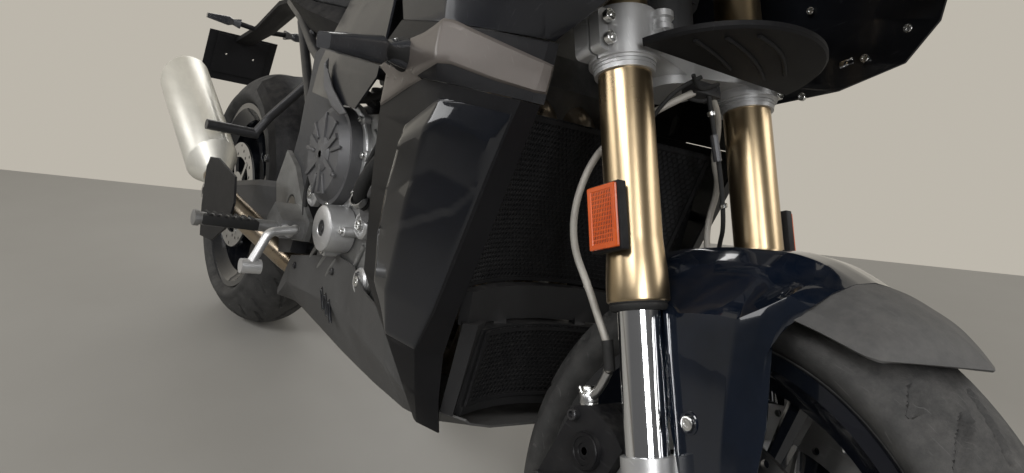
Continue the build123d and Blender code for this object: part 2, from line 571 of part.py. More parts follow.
def controls():
    """Tapered handlebar on its risers, grips, levers with their perches, and mirrors."""
    end = (-50, BAR_HALF, 914)
    bend = (-6, 205, 890)
    names = {}
    bar = pipe([(-50, -BAR_HALF, 914), (-6, -205, 890), (BAR_X, -92, BAR_Z), (BAR_X, 92, BAR_Z),
                (-6, 205, 890), (-50, BAR_HALF, 914)], [60, 50, 50, 60], 11)
    bar += Pos(BAR_X, 0, BAR_Z) * Rot(90, 0, 0) * Cylinder(14.3, 132)
    top = UPPER_CLAMP_Z + UPPER_CLAMP_H
    for s in (-1, 1):
        post = loft([Pos(STEM_X + 30, s * 44, top + FIT) * Rectangle(44, 26),
                     Pos(BAR_X, s * 44, BAR_Z - 16) * Rectangle(42, 24)])
        clamp = Pos(BAR_X, s * 44, BAR_Z) * Box(46, 24, 40)
        bar += post + clamp
    names["handlebar"] = bar
    along = (Vector(*end) - Vector(*bend)).normalized()
    tip = Vector(*end)
    grips = []
    perches = []
    mirrors = []
    for s in (-1, 1):
        def at(dist, dx=0.0, dz=0.0):
            p = tip - along * dist
            return (p.X + dx, s * p.Y, p.Z + dz)
        grip = rod(at(0), at(GRIP_LEN), 16.5) + rod(at(GRIP_LEN), at(GRIP_LEN + 6), 20)
        grip += rod(at(-14), at(0), 15)
        grip -= rod(at(0), at(GRIP_LEN + 20), 11.05)
        grips.append(grip)
        perch = rod(at(GRIP_LEN + 8), at(GRIP_LEN + 40), 23)
        perch += rod(at(GRIP_LEN + 44), at(GRIP_LEN + 66), 19)
        perch += rod(at(GRIP_LEN + 30, 0, 0), at(GRIP_LEN + 54, 0, 0), 17)
        perch += rod(at(GRIP_LEN + 55, 12, 0), at(GRIP_LEN + 20, 50, -4), 13)
        perch += rod(at(GRIP_LEN + 54, 18, 10), at(GRIP_LEN + 54, 18, 34), 22)
        perch -= rod(at(GRIP_LEN), at(GRIP_LEN + 80), 11.05)
        perches.append(perch)
        lever = [at(GRIP_LEN + 26, 62, -6), at(GRIP_LEN - 10, 70, -6), at(40, 58, -8), at(-6, 62, -8)]
        blade = pipe(lever, [30, 60], 6.5) + Pos(*at(-6, 62, -8)) * Sphere(9)
        blade += rod(at(GRIP_LEN + 26, 62, -6), at(GRIP_LEN + 26, 62, -12), 11)
        perches[-1] += blade
        head = Vector(*to_fork(392, s * 392, 1238))
        perches[-1] += rod(at(GRIP_LEN + 26, 6, 12), at(GRIP_LEN + 26, 6, 29.4), 9)
        foot = Vector(*at(GRIP_LEN + 26, 6, 36))
        arm = rod((foot.X, foot.Y, foot.Z), (head.X, head.Y, head.Z), 7, 6)
        shell = Rot(0, RAKE, 0) * Rot(0, 0, s * 6) * loft([
            Plane.YZ.offset(-14) * RectangleRounded(128, 78, 30),
            Plane.YZ.offset(16) * RectangleRounded(84, 44, 18)])
        mirrors.append(Pos(head.X, head.Y, head.Z) * shell + arm)
    names["grips"] = grips
    names["hand_controls"] = perches
    names["mirrors"] = mirrors
    return names


# pieces fixed to the frame, in the riding frame
PIVOT = (-165.0, 430.0)
PIVOT_R = 11.0
PLATE_IN = 122.0
PLATE_OUT = 152.0
HEAD_TUBE_R = 31.0
GUSSET = Pos(452, 0, 893)
GUSSET_SIZE = 70.0
TUBE_ROOM = 6.0


def stations(rows):
    """A beam through rectangles square to X; rows are (x, y, z, half width y, half height z)."""
    rings = []
    for x, y, z, hy, hz in rows:
        cy, cz = hy * 0.5, hz * 0.3
        rings.append([(x, y - hy, z - hz + cz), (x, y - cy, z - hz), (x, y + cy, z - hz),
                      (x, y + hy, z - hz + cz), (x, y + hy, z + hz - cz), (x, y + cy, z + hz),
                      (x, y - cy, z + hz), (x, y - hy, z + hz - cz)])
    return ruled(rings)


def frame():
    """Twin spars from the steering head to the swingarm plates, with two cross tubes."""
    bottom = LOWER_CLAMP_Z + LOWER_CLAMP_H + 3
    top = UPPER_CLAMP_Z - 3
    tube = Pos(STEM_X, 0, bottom) * Cylinder(
        HEAD_TUBE_R, top - bottom, align=[Align.CENTER, Align.CENTER, Align.MIN])
    head = FORK_FRAME * tube
    whole = head
    for s in (-1, 1):
        whole += stations([(478, s * 30, 892, 18, 52), (415, s * 58, 888, 16, 50),
                           (372, s * 84, 880, 15, 48), (300, s * 118, 862, 14, 45),
                           (180, s * 150, 822, 14, 42),
                           (60, s * 158, 768, 14, 42), (-60, s * 148, 712, 14, 44),
                           (-135, s * 132, 672, 15, 44)])
        plate = [(-70, 738), (-40, 660), (-96, 560), (-122, 470), (-140, 398), (-154, 344),
                 (-212, 328), (-236, 396), (-232, 480), (-214, 560), (-214, 612), (-206, 640),
                 (-206, 704), (-176, 720), (-130, 742)]
        y0, y1 = sorted((s * PLATE_IN, s * PLATE_OUT))
        whole += side_plate(plate, y0, y1)
    for s in (-1, 1):
        whole += Pos(180, s * 129, 862.1) * Box(24, 34, 30)
    for x, z, r in ((-150, 700, 16), (-194, 343, 11)):
        whole += Pos(x, 0, z) * Rot(90, 0, 0) * Cylinder(r, 2 * PLATE_IN + 4)
    whole += GUSSET * Box(GUSSET_SIZE, GUSSET_SIZE, GUSSET_SIZE)
    for s in (-1, 1):
        for turn in range(0, int(STEER_MAX) + 1, 10):
            room = Pos(STEM_SETBACK, s * FORK_SPACING / 2, 0) * Cylinder(
                OUTER_TUBE_R + TUBE_ROOM, top - bottom + 120, align=[Align.CENTER, Align.CENTER, Align.MIN])
            whole -= FORK_FRAME * Pos(STEM_X, 0, bottom - 60) * Rot(0, 0, s * turn) * room
    whole -= FORK_FRAME * Pos(STEM_X, 0, bottom - 2) * Cylinder(
        14 + FIT, top - bottom + 4, align=[Align.CENTER, Align.CENTER, Align.MIN])
    below = FORK_FRAME * Pos(STEM_X, 0, bottom - 60) * Cylinder(
        160, 60, align=[Align.CENTER, Align.CENTER, Align.MIN])
    above = FORK_FRAME * Pos(STEM_X, 0, top) * Cylinder(
        160, 60, align=[Align.CENTER, Align.CENTER, Align.MIN])
    whole = whole - below - above
    whole -= Pos(PIVOT[0], 0, PIVOT[1]) * Rot(90, 0, 0) * Cylinder(PIVOT_R + 0.05, 400)
    return whole


def subframe():
    """Two bent rails each side that carry the seats and the tail, with the pillion footrests."""
    rails = []
    for s in (-1, 1):
        upper = pipe([(-216, s * 130, 690), (-330, s * 112, 716), (-520, s * 80, 776),
                      (-690, s * 52, 812)], [120, 120], 11)
        lower = pipe([(-224, s * 130, 588), (-330, s * 108, 640), (-515, s * 80, 766)], [120], 10)
        rails.append(upper + lower)
    whole = rails[0] + rails[1]
    for x, y, z in ((-330, 112, 716), (-520, 80, 776)):
        whole += Pos(x, 0, z) * Rot(90, 0, 0) * Cylinder(9, 2 * y)
    for s in (-1, 1):
        whole += rod((-206.4, s * 131, 690), (-222, s * 131, 690), 13.5)
        whole += rod((-214.4, s * 131, 588), (-230, s * 131, 588), 13.5)
        whole += rod((-385, s * 98, 735), (-385, s * 98, 749.2), 8)
        whole += pipe([(-336, s * 108, 644), (-400, s * 150, 560), (-408, s * 172, 520)], [40], 9)
        whole += rod((-408, s * 166, 520), (-404, s * 268, 524), 10)
    return whole


CASE_HALF = 148.0


def engine():
    """Crankcase, forward-leaning cylinders and head as one heavy block, and the side covers."""
    case = [(-120, 600), (-128, 520), (-60, 352), (70, 338), (200, 350), (236, 430), (226, 548),
            (90, 636)]
    block = side_plate(case, -CASE_HALF, CASE_HALF)
    bank = [(96, 632), (225, 552), (300, 672), (168, 752)]
    block += side_plate(bank, -136, 136)
    head = [(160, 748), (304, 664), (338, 730), (318, 772), (216, 830), (186, 806)]
    block += side_plate(head, -114, 114)
    for s in (-1, 1):
        block -= Pos(-138, s * (PLATE_IN + 28), 480) * Box(200, 60, 400)
    block -= Pos(-98, CHAIN_Y + 10, SPROCKET_Z) * Box(120, 46, 124)
    small = toothed_disc(FRONT_TEETH, FRONT_PITCH_R, 6, 5)
    shaft = Pos(0, 0, 9) * Cylinder(14, 34)
    block += Pos(SPROCKET_X, CHAIN_Y, SPROCKET_Z) * Rot(90, 0, 0) * (small + shaft)
    clutch = Pos(6, -CASE_HALF, 552) * Rot(90, 0, 0) * (
        Pos(0, 0, 14) * Cylinder(80, 28) + Pos(0, 0, 34) * Cone(74, 62, 14))
    for i in range(3):
        clutch += Pos(6, -CASE_HALF - 42, 552) * Rot(0, 20 + i * 60, 0) * Box(116, 5, 9)
    starter = Pos(60, -CASE_HALF, 445) * Rot(90, 0, 0) * (
        Pos(0, 0, 20) * Cylinder(36, 40) - Pos(0, 0, 42) * Cylinder(29, 10)
        + Pos(0, 0, 36) * Cylinder(10, 8))
    pump = Pos(146, -CASE_HALF, 506) * Rot(90, 0, 0) * Pos(0, 0, 8) * Cylinder(26, 16)
    dynamo = Pos(60, CASE_HALF, 500) * Rot(-90, 0, 0) * (
        Pos(0, 0, 16) * Cylinder(80, 32) + Pos(0, 0, 38) * Cone(74, 56, 12))
    guard = side_plate([(-39, 512), (-39, 386), (-60, 386), (-118, 404), (-106, 503)],
                       PLATE_IN - 1.7, PLATE_OUT - 0.5)
    return {"engine_block": block, "engine_covers": [clutch, starter, pump, dynamo, guard]}


def arc_line(half, sagitta, x_edge, count=6):
    """Plan points of an arc that is hollow towards the front, from right to left."""
    r = (half * half + sagitta * sagitta) / (2 * sagitta)
    line = []
    for i in range(count + 1):
        y = -half + 2 * half * i / count
        line.append((x_edge - (math.sqrt(r * r - y * y) - (r - sagitta)), y))
    return line


def shorten(line, cut):
    """An open line with a cut taken off each end along its end segments."""
    out = list(line)
    for i, j in ((0, 1), (-1, -2)):
        share = cut / math.dist(line[i], line[j])
        out[i] = tuple(p + (q - p) * share for p, q in zip(line[i], line[j]))
    return out


def coolers():
    """Curved radiator and oil cooler, each with a guard panel in front of its core."""
    cores = []
    guards = []
    for half, sag, rows, thick in (
            (160, 56, ((472, 436), (690, 480)), 26),
            (112, 26, ((312, 424), (420, 434)), 24)):
        core = [(z, [(x - 12, y) for x, y in arc_line(half, sag, xe)]) for z, xe in rows]
        face = [(z, [(x + 6.3, y) for x, y in shorten(line, 8)]) for z, line in core]
        cores.append(skin_z(core, thick))
        guards.append(skin_z(face, 5))
    whole = cores[0] + cores[1]
    whole += skin_z([(424, arc_line(140, 41.6, 427)), (470, arc_line(146, 45.6, 430))], 14)
    whole += skin_z([(298.5, arc_line(110, 25, 412)), (311.5, arc_line(110, 25, 415))], 16)
    for s in (-1, 1):
        whole += stations([(402, s * 171, 590, 12, 96), (440, s * 171, 594, 12, 96)])
        whole += loft([Pos(362, s * 70, 480) * Rectangle(14, 20), Pos(392, s * 70, 418) * Rectangle(14, 20)])
        post = [(300, ((398, 132), (413, 122), (398, 108))), (430, ((427, 148), (434, 130), (418, 108)))]
        whole += skin_z(side_rows(post, s), 9)
    return {"coolers": whole, "cooler_guards": guards}


COWL_WALL = 3.0
# half plan lines of the side cowl: height, then (x, y) from the rear edge to the front corner
COWL_ROWS = (
    (272, ((356, 142), (361, 144), (370, 145), (402, 130))),
    (320, ((345, 166), (360, 171), (385, 166), (404, 142))),
    (382, ((312, 190), (345, 201), (396, 187), (410, 154))),
    (441, ((262, 207), (350, 216), (428, 192), (436, 166))),
    (555, ((250, 215), (370, 223), (462, 193), (470, 170))),
    (645, ((253, 225), (395, 229), (486, 194), (492, 170))),
    (700, ((259, 228), (408, 231), (503, 194), (508, 172))))


def side_rows(rows, sign):
    """Plan lines of a side panel for one side, ordered so that the wall is turned inward."""
    out = []
    for z, line in rows:
        points = [(x, sign * y) for x, y in line]
        if sign > 0:
            points.reverse()
        out.append((z, points))
    return out


def side_panels(rows, wall):
    """The right and left panel through the same half rows."""
    return [skin_z(side_rows(rows, s), wall) for s in (-1, 1)]


def fairings():
    """Side cowls, the pale band above them, upper fairing, nose, lamps, windscreen and belly pan."""
    names = {}
    names["side_cowls"] = side_panels(COWL_ROWS, COWL_WALL)
    for i, s in enumerate((-1, 1)):
        names["side_cowls"][i] += rod((424, s * 183.05, 600), (424, s * 208, 600), 7)
    band = (
        (701, ((240, 231), (400, 236), (505, 182), (511, 170))),
        (730, ((252, 236), (393, 238), (506, 180), (510, 168))),
        (764, ((262, 224), (386, 235), (508, 180), (512, 170))))
    names["fairing_bands"] = side_panels(band, COWL_WALL)
    upper = (
        (765, ((262, 222), (385, 233), (509, 186), (513, 176))),
        (800, ((236, 219), (380, 235), (522, 207), (598, 197))),
        (842, ((216, 212), (380, 235), (560, 216), (663, 206))),
        (890, ((204, 203), (390, 229), (600, 213), (690, 200))),
        (940, ((256, 189), (420, 216), (620, 201), (702, 173))),
        (1000, ((345, 174), (470, 196), (640, 178), (697, 152))),
        (1034, ((500, 172), (560, 174), (640, 156), (688, 134))))
    names["upper_fairings"] = side_panels(upper, COWL_WALL)
    nose = hull_x([
        (690, [(60, 905), (162, 915), (166, 958), (128, 1030), (0, 1058)]),
        (760, [(50, 890), (150, 905), (150, 950), (100, 1010), (0, 1035)]),
        (830, [(35, 885), (110, 900), (105, 935), (60, 975), (0, 985)]),
        (885, [(15, 893), (45, 900), (40, 915), (20, 925), (0, 930)])])
    lamp_zone = side_plate([(742, 918), (900, 908), (900, 940), (800, 985), (742, 990)], -200, -34)
    lamps = both(nose & lamp_zone)
    names["nose_fairing"] = nose - lamp_zone - mirror(lamp_zone, about=Plane.XZ)
    names["headlamps"] = lamps
    screen = []
    for z, xc, half, sag in ((1040, 689.4, 140, 66), (1150, 640, 148, 62), (1290, 545, 138, 52),
                             (1408, 452, 96, 30)):
        screen.append((z, [(2 * xc - sag - x, y) for x, y in arc_line(half, sag, xc)]))
    names["windscreen"] = skin_z(screen, 4)
    belly = []
    for x, y0, z0, y1, z1, y2, z2 in (
            (-186, 150, 262, 148, 252, 110, 240), (-148, 150, 341, 150, 290, 110, 240),
            (56, 153, 402, 151, 320, 115, 240), (122, 157, 406, 152, 320, 118, 243),
            (196, 170, 391, 160, 320, 120, 246), (300, 184, 390, 168, 320, 125, 256),
            (350, 150, 292, 141, 285, 120, 264), (428, 112, 300, 104, 294, 70, 288)):
        belly.append((x, [(y0, z0), (y1, z1), (y2, z2), (-y2, z2), (-y1, z1), (-y0, z0)]))
    names["belly_pan"] = skin_x([(x, list(reversed(line))) for x, line in belly], COWL_WALL)
    return names


def tank_and_seats():
    """Fuel tank, its side panels, two seats and the tail unit below them."""
    names = {}
    names["fuel_tank"] = hull_x([
        (-75, [(90, 790), (95, 832), (85, 865), (50, 880), (0, 882)]),
        (-20, [(110, 800), (130, 880), (110, 930), (60, 955), (0, 958)]),
        (80, [(130, 838), (200, 940), (170, 1010), (80, 1040), (0, 1045)]),
        (200, [(120, 892), (205, 970), (190, 1045), (90, 1076), (0, 1080)]),
        (290, [(92, 925), (172, 985), (158, 1042), (74, 1067), (0, 1070)]),
        (330, [(60, 950), (95, 985), (90, 1030), (60, 1056), (0, 1058)]),
        (365, [(30, 965), (50, 990), (45, 1020), (25, 1032), (0, 1034)])])
    side = (
        (640, ((-96, 186), (20, 205), (150, 214))),
        (690, ((-80, 188), (40, 208), (220, 223))),
        (740, ((-66, 180), (56, 205), (230, 226))),
        (790, ((-60, 166), (60, 190), (224, 222))),
        (860, ((-66, 152), (70, 208), (196, 214))),
        (938, ((-68, 118), (80, 202.2), (196, 208))))
    names["tank_side_panels"] = side_panels(side, COWL_WALL)
    names["rider_seat"] = hull_x([
        (-84, [(72, 802), (84, 838), (50, 862), (0, 864)]),
        (-180, [(100, 796), (118, 825), (80, 846), (0, 848)]),
        (-300, [(138, 800), (153, 835), (110, 853), (0, 851)]),
        (-392, [(135, 814), (150, 860), (110, 882), (0, 882)])])
    names["pillion_seat"] = hull_x([
        (-400, [(120, 852), (135, 885), (100, 912), (0, 915)]),
        (-520, [(113, 869), (130, 905), (95, 925), (0, 926)]),
        (-680, [(79, 889), (95, 915), (70, 930), (0, 932)])])
    names["tail_unit"] = hull_x([
        (-150, [(108, 718), (128, 760), (104, 792), (0, 795)]),
        (-180, [(108, 722), (130, 764), (100, 795), (0, 795)]),
        (-300, [(112, 738), (148, 780), (138, 799), (0, 799)]),
        (-394, [(104, 752), (158, 800), (134, 813), (0, 813)])]) + hull_x([
            (-393, [(104, 752), (158, 810), (128, 851), (0, 851)]),
            (-520, [(86, 800), (140, 840), (113, 868), (0, 868)]),
            (-680, [(58, 836), (110, 870), (79, 888), (0, 888)]),
            (-806, [(35, 866), (74, 888), (50, 908), (0, 908)])])
    return names


PLATE_X = -1242.0


def tail_details():
    """Grab rails with a rack, rear lamp, plate holder with its blank plate, and turn signals."""
    names = {}
    rails = None
    for s in (-1, 1):
        rail = pipe([(-440, s * 141, 850), (-455, s * 164, 874), (-640, s * 140, 912),
                     (-800, s * 62, 928)], [14, 60], 10)
        rails = rail if rails is None else rails + rail
    rack = Pos(-762, 0, 928) * Box(110, 150, 12)
    for x in (-802, -722):
        for y in (-40, 40):
            rack -= Pos(x, y, 928) * Cylinder(3.3, 30)
    post = rod((-745, 0, 901.4), (-745, 0, 924), 14)
    names["grab_rails"] = rails + rack + post
    names["tail_lamp"] = Pos(-806.5, 0, 886) * loft([
        Plane.YZ * RectangleRounded(96, 30, 10), Plane.YZ.offset(-26) * RectangleRounded(70, 20, 8)])
    arm = stations([(-700, 0, 832, 30, 8), (-860, 0, 812, 30, 8), (-1040, 0, 742, 26, 8),
                    (PLATE_X + 16, 0, 696, 24, 8)])
    tilted = Pos(PLATE_X, 0, 650) * Rot(0, 18, 0)
    arm += tilted * Box(5, 150, 120)
    for s in (-1, 1):
        arm += rod((-1060, s * 20, 738), (-1060, s * 62, 742), 7)
    arm += tilted * Pos(-3.3, 0, -10) * Box(1.8, 200, 150)
    for y in (-40, 40):
        arm -= tilted * Pos(0, y, 0) * Rot(0, 90, 0) * Cylinder(3.2, 40)
    names["plate_holder"] = arm
    signals = []
    for s in (-1, 1):
        signals.append(signal_body((-1060, s * 63, 742), (-1064, s * 150, 744), 13))
        signals.append(signal_body((314, s * 243.0, 722), (356, s * 352, 714), 17))
    names["turn_signals"] = signals
    return names


def signal_body(root, tip, half):
    """A lamp on a waisted stalk: wide at its base, narrow, then a long tapered lens."""
    a, b = Vector(*root), Vector(*tip)
    plane = Plane(origin=a, x_dir=(1, 0, 0), z_dir=b - a)
    length = (b - a).length
    sections = []
    for share, w, h in ((0, 0.95, 1.0), (0.22, 0.55, 0.6), (0.36, 1.0, 0.95), (1.0, 0.62, 0.5)):
        sections.append(plane.offset(length * share) * RectangleRounded(
            2 * half * w, 2 * half * h, half * min(w, h) * 0.45))
    return loft(sections, ruled=True)


REAR_ARM_Y = 138.0


def swingarm():
    """Two-sided swingarm: pivot tube, braced arms outside the chain run, and axle ends."""
    tube = Pos(PIVOT[0], 0, PIVOT[1]) * Rot(90, 0, 0) * Cylinder(32, 2 * (PLATE_IN - 2))
    whole = tube
    for s in (-1, 1):
        whole += stations([(-150, s * 92, 428, 16, 30), (-215, s * 92, 420, 17, 36),
                           (-300, s * 100, 404, 18, 44), (-430, s * 128, 382, 17, 42),
                           (-560, s * 138, 356, 14, 36), (-700, s * REAR_ARM_Y, 331, 12, 30),
                           (-815, s * REAR_ARM_Y, 314, 12, 27)])
    whole += stations([(-232, 0, 418, 96, 30), (-330, 0, 402, 96, 34)])
    whole -= Pos(-331, 0, 402) * Box(70, 120, 100)
    inner = REAR_ARM_Y - 12
    whole -= Pos(PIVOT[0], 0, PIVOT[1]) * Rot(90, 0, 0) * Cylinder(PIVOT_R + 0.05, 400)
    whole -= Pos(REAR_X, 0, REAR_TYRE_R) * Rot(90, 0, 0) * Cylinder(REAR_AXLE_R + 0.05, 400)
    bolt = Cylinder(PIVOT_R, 2 * PLATE_OUT + 8) - Cylinder(6, 400)
    bolt += Pos(0, 0, PLATE_OUT + 4.4) * Cylinder(17, 8) + Pos(0, 0, -PLATE_OUT - 4.4) * Cylinder(17, 8)
    bolt = Pos(PIVOT[0], 0, PIVOT[1]) * Rot(90, 0, 0) * bolt
    axle = Cylinder(REAR_AXLE_R, 2 * (REAR_ARM_Y + 18)) - Cylinder(9, 400)
    left = Pos(0, 0, -(CHAIN_Y + 3.4 + inner) / 2) * (
        Cylinder(20, inner - CHAIN_Y - 3 - 0.9) - Cylinder(REAR_AXLE_R - 0.5, 60))
    right_from = -REAR_DISC_Y - CARRIER_HALF + 1.0
    right = Pos(0, 0, (right_from + inner) / 2) * (
        Cylinder(20, inner - right_from - 0.9) - Cylinder(REAR_AXLE_R - 0.5, 60))
    nuts = Pos(0, 0, REAR_ARM_Y + 12 + 5) * extrude(RegularPolygon(19, 6) - Circle(9), amount=9)
    axle += left + right + nuts + mirror(nuts, about=Plane.XY)
    axle = Pos(REAR_X, 0, REAR_TYRE_R) * Rot(90, 0, 0) * axle
    return {"swingarm": whole, "pivot_and_axle": [bolt, axle]}


def loop_point(u, shift):
    """A point u pitches along the chain's loop, moved outward by shift, in (x, z)."""
    dx, dz = SPROCKET_X - REAR_X, SPROCKET_Z - REAR_TYRE_R
    span = math.hypot(dx, dz)
    line = math.atan2(dz, dx)
    lean = math.asin((REAR_PITCH_R - FRONT_PITCH_R) / span)
    run = math.sqrt(span ** 2 - (REAR_PITCH_R - FRONT_PITCH_R) ** 2)
    rear_arc = REAR_PITCH_R * (math.pi + 2 * lean)
    front_arc = FRONT_PITCH_R * (math.pi - 2 * lean)
    total = 2 * run + rear_arc + front_arc
    d = (u * total) % total
    top = line + math.pi / 2 - lean
    low = line - math.pi / 2 + lean
    if d < run:
        base = (REAR_X + REAR_PITCH_R * math.cos(top), REAR_TYRE_R + REAR_PITCH_R * math.sin(top))
        along = (math.cos(top - math.pi / 2), math.sin(top - math.pi / 2))
        return (base[0] + along[0] * d + shift * math.cos(top),
                base[1] + along[1] * d + shift * math.sin(top))
    d -= run
    if d < front_arc:
        a = top - d / FRONT_PITCH_R
        r = FRONT_PITCH_R + shift
        return (SPROCKET_X + r * math.cos(a), SPROCKET_Z + r * math.sin(a))
    d -= front_arc
    if d < run:
        base = (SPROCKET_X + FRONT_PITCH_R * math.cos(low),
                SPROCKET_Z + FRONT_PITCH_R * math.sin(low))
        along = (math.cos(low - math.pi / 2), math.sin(low - math.pi / 2))
        return (base[0] + along[0] * d + shift * math.cos(low),
                base[1] + along[1] * d + shift * math.sin(low))
    d -= run
    a = low - d / REAR_PITCH_R
    r = REAR_PITCH_R + shift
    return (REAR_X + r * math.cos(a), REAR_TYRE_R + r * math.sin(a))


SPROCKET_X = -95.0
SPROCKET_Z = 442.0
LINKS = 116


def chain():
    """The closed chain: two rows of waisted side plates with the rollers' band between them."""
    def ring(wide, narrow):
        outer = []
        inner = []
        for i in range(LINKS):
            outer.append(loop_point(i / LINKS, wide))
            outer.append(loop_point((i + 0.5) / LINKS, narrow))
            inner.append(loop_point(i / LINKS, -wide))
            inner.append(loop_point((i + 0.5) / LINKS, -narrow))
        return outer, inner
    outer, inner = ring(7.4, 5.0)
    plates = None
    half = CHAIN_W / 2
    for y0, y1 in ((CHAIN_Y - half, CHAIN_Y - half + 4.5), (CHAIN_Y + half - 4.5, CHAIN_Y + half)):
        ring_o = side_plate(outer, y0, y1)
        ring_o -= side_plate(inner, y0 - 1, y1 + 1)
        plates = ring_o if plates is None else plates + ring_o
    core_o = [loop_point(i / LINKS, ROLLER_R) for i in range(LINKS)]
    core_i = [loop_point(i / LINKS, -ROLLER_R) for i in range(LINKS)]
    core = side_plate(core_o, CHAIN_Y - 5, CHAIN_Y + 5)
    core -= side_plate(core_i, CHAIN_Y - 6, CHAIN_Y + 6)
    return plates + core


def running_gear():
    """Chain, rear hugger and the shock absorber."""
    names = {"chain": chain()}
    section = [(0, REAR_TYRE_R + 15), (60, REAR_TYRE_R + 6), (90, REAR_TYRE_R - 16),
               (98, REAR_TYRE_R - 40)]
    rows = [(angle, section) for angle in (8, 25, 42, 59, 76)]
    hugger = Pos(REAR_X, 0, REAR_TYRE_R) * arch(rows, 3)
    for s in (-1, 1):
        hugger += rod((-470, s * 91, 372), (-470, s * 113.3, 372), 7)
    names["hugger"] = hugger
    top, low = Vector(-196, 0, 690), Vector(-262, 0, 460)
    axis = Plane(origin=low, z_dir=top - low)
    span = (top - low).length
    z = 52.0
    points = [(0, 20), (14, 20), (14, 48), (30, 48)]
    while z < span - 58:
        points += [(30, z), (37, z + 5), (30, z + 10), (26, z + 15)]
        z += 18
    points += [(30, z), (30, span - 30), (14, span - 30), (14, span - 22), (0, span - 22)]
    body = revolve(Plane.XZ * make_face(Polyline(*points, close=True)), axis=Axis.Z)
    shock = axis.location * body
    shock += Pos(*low) * Rot(90, 0, 0) * Cylinder(15, 36) + rod(low, low + (top - low) * 0.12, 12)
    shock += Pos(*top) * Rot(90, 0, 0) * Cylinder(15, 36) + rod(low + (top - low) * 0.88, top, 12)
    names["rear_shock"] = shock
    return names


HEADER_R = 18.0
LINK_R = 24.0
SILENCER_BASE = (-385, -238, 428)
SILENCER_TIP = (-690, -262, 592)


def exhaust():
    """Four header pipes into a box under the engine, a link pipe with its shield, and the silencer."""
    names = {}
    headers = []
    for y in (-102, -34, 34, 102):
        route = [(321.3, y, 696.9), (348, y, 683.2), (322, y, 560), (292, y, 400), (276, y, 300),
                 (60, y * 0.7, 290)]
        headers.append(pipe(route, [19, 150, 90, 50], HEADER_R))
    base = Vector(*SILENCER_BASE)
    along = Vector(*SILENCER_TIP) - base
    span = along.length
    axis = Plane(origin=base, x_dir=(0, 1, 0), z_dir=along)
    box = stations([(59.6, 0, 293, 94, 34), (-60, 0, 292, 100, 36), (-150, 0, 296, 80, 30)])
    route = [(-140, -44, 296), (-236, -110, 300), base - along.normalized() * 70, base]
    pipes = box + pipe(route, [60, 50], LINK_R)
    for header in headers:
        pipes += header
    names["exhaust_pipes"] = pipes
    rings = [axis.offset(d) * Ellipse(ry, rz) for d, ry, rz in (
        (0.5, 26, 26.1), (46, 49, 56), (span - 12, 51, 58), (span, 45, 52))]
    can = loft(rings, ruled=True)
    can -= axis.offset(span - 60) * Pos(0, 0, 31) * Cylinder(27, 62)
    plate = [(-150, 425), (-168, 468), (-290, 478), (-344, 470), (-360, 448), (-352, 372), (-330, 318),
             (-250, 330), (-170, 378)]
    shield = side_plate(plate, -266, -262)
    shield += rod((-322, -262.5, 393), (-322, -256.7, 393), 8)
    names["silencer"] = can
    names["exhaust_shield"] = shield
    return names


def foot_controls():
    """Hangers with the rider's footpegs, brake pedal and gear lever."""
    names = {}
    hanger = [(-64, 424), (-70, 388), (-130, 374), (-232, 400), (-262, 452), (-232, 520),
              (-176, 500), (-120, 452)]
    y = PLATE_OUT + FIT
    plate = side_plate(hanger, -y - 9, -y)
    plate -= Pos(PIVOT[0], 0, PIVOT[1]) * Rot(90, 0, 0) * Cylinder(20, 500)
    outrig = side_plate([(-80, 420), (-80, 388), (-130, 384), (-160, 404), (-130, 440)], -y - 50, -y - 8)
    peg = rod((-104, -y - 49, 401), (-98, -334, 406), 10.5) + rod((-98, -332, 406), (-97.7, -340, 406.2), 13)
    hangers = both(plate + outrig)
    pegs = both(peg)
    low = y + 50
    pedal = pipe([(-60, -low + 8, 404), (-6, -low - 4, 424), (34, -low - 22, 431), (46, -low - 62, 428),
                  (50, -low - 84, 376)], [20, 14, 14], 7)
    pedal += rod((-60, -low + 8, 404), (-79.7, -low + 8, 404), 9)
    pedal += rod((50, -low - 68, 374), (50, -low - 98, 374), 11)
    lever = pipe([(-60, low - 8, 404), (20, low - 4, 396), (78, low + 2, 402)], [40], 6.5)
    lever += rod((-60, low - 8, 404), (-79.7, low - 8, 404), 9)
    lever += rod((78, low - 6, 402), (78, low + 40, 402), 9)
    names["foot_levers"] = [pedal, lever]
    names["footrests"] = [hangers[0] + pegs[0], hangers[1] + pegs[1]]
    return names


STAND_PIVOT = (-200.0, 164.0, 332.0)
STAND_FOOT = (-105.0, 304.0)
STAND_R = 11.0
STAND_EYE = 13.0
FOLDED = Vector(-0.955, 0.20, 0.06).normalized()


def floor_height(y):
    """Riding-frame height of the floor beside the leaning machine, midway between the wheels."""
    lean = math.radians(LEAN)
    crown = (FRONT_CROWN_R + REAR_CROWN_R) / 2
    return crown * (1 - math.cos(lean)) + (y - crown * math.sin(lean)) * math.tan(lean)


def stand_foot():
    """The point on the floor that the side stand reaches."""
    return Vector(STAND_FOOT[0], STAND_FOOT[1], floor_height(STAND_FOOT[1]))


def stand_axis():
    """Hinge axis and angle that carry the stand from its parked place back under the machine."""
    down = (stand_foot() - Vector(*STAND_PIVOT)).normalized()
    return down.cross(FOLDED).normalized(), down.get_angle(FOLDED)


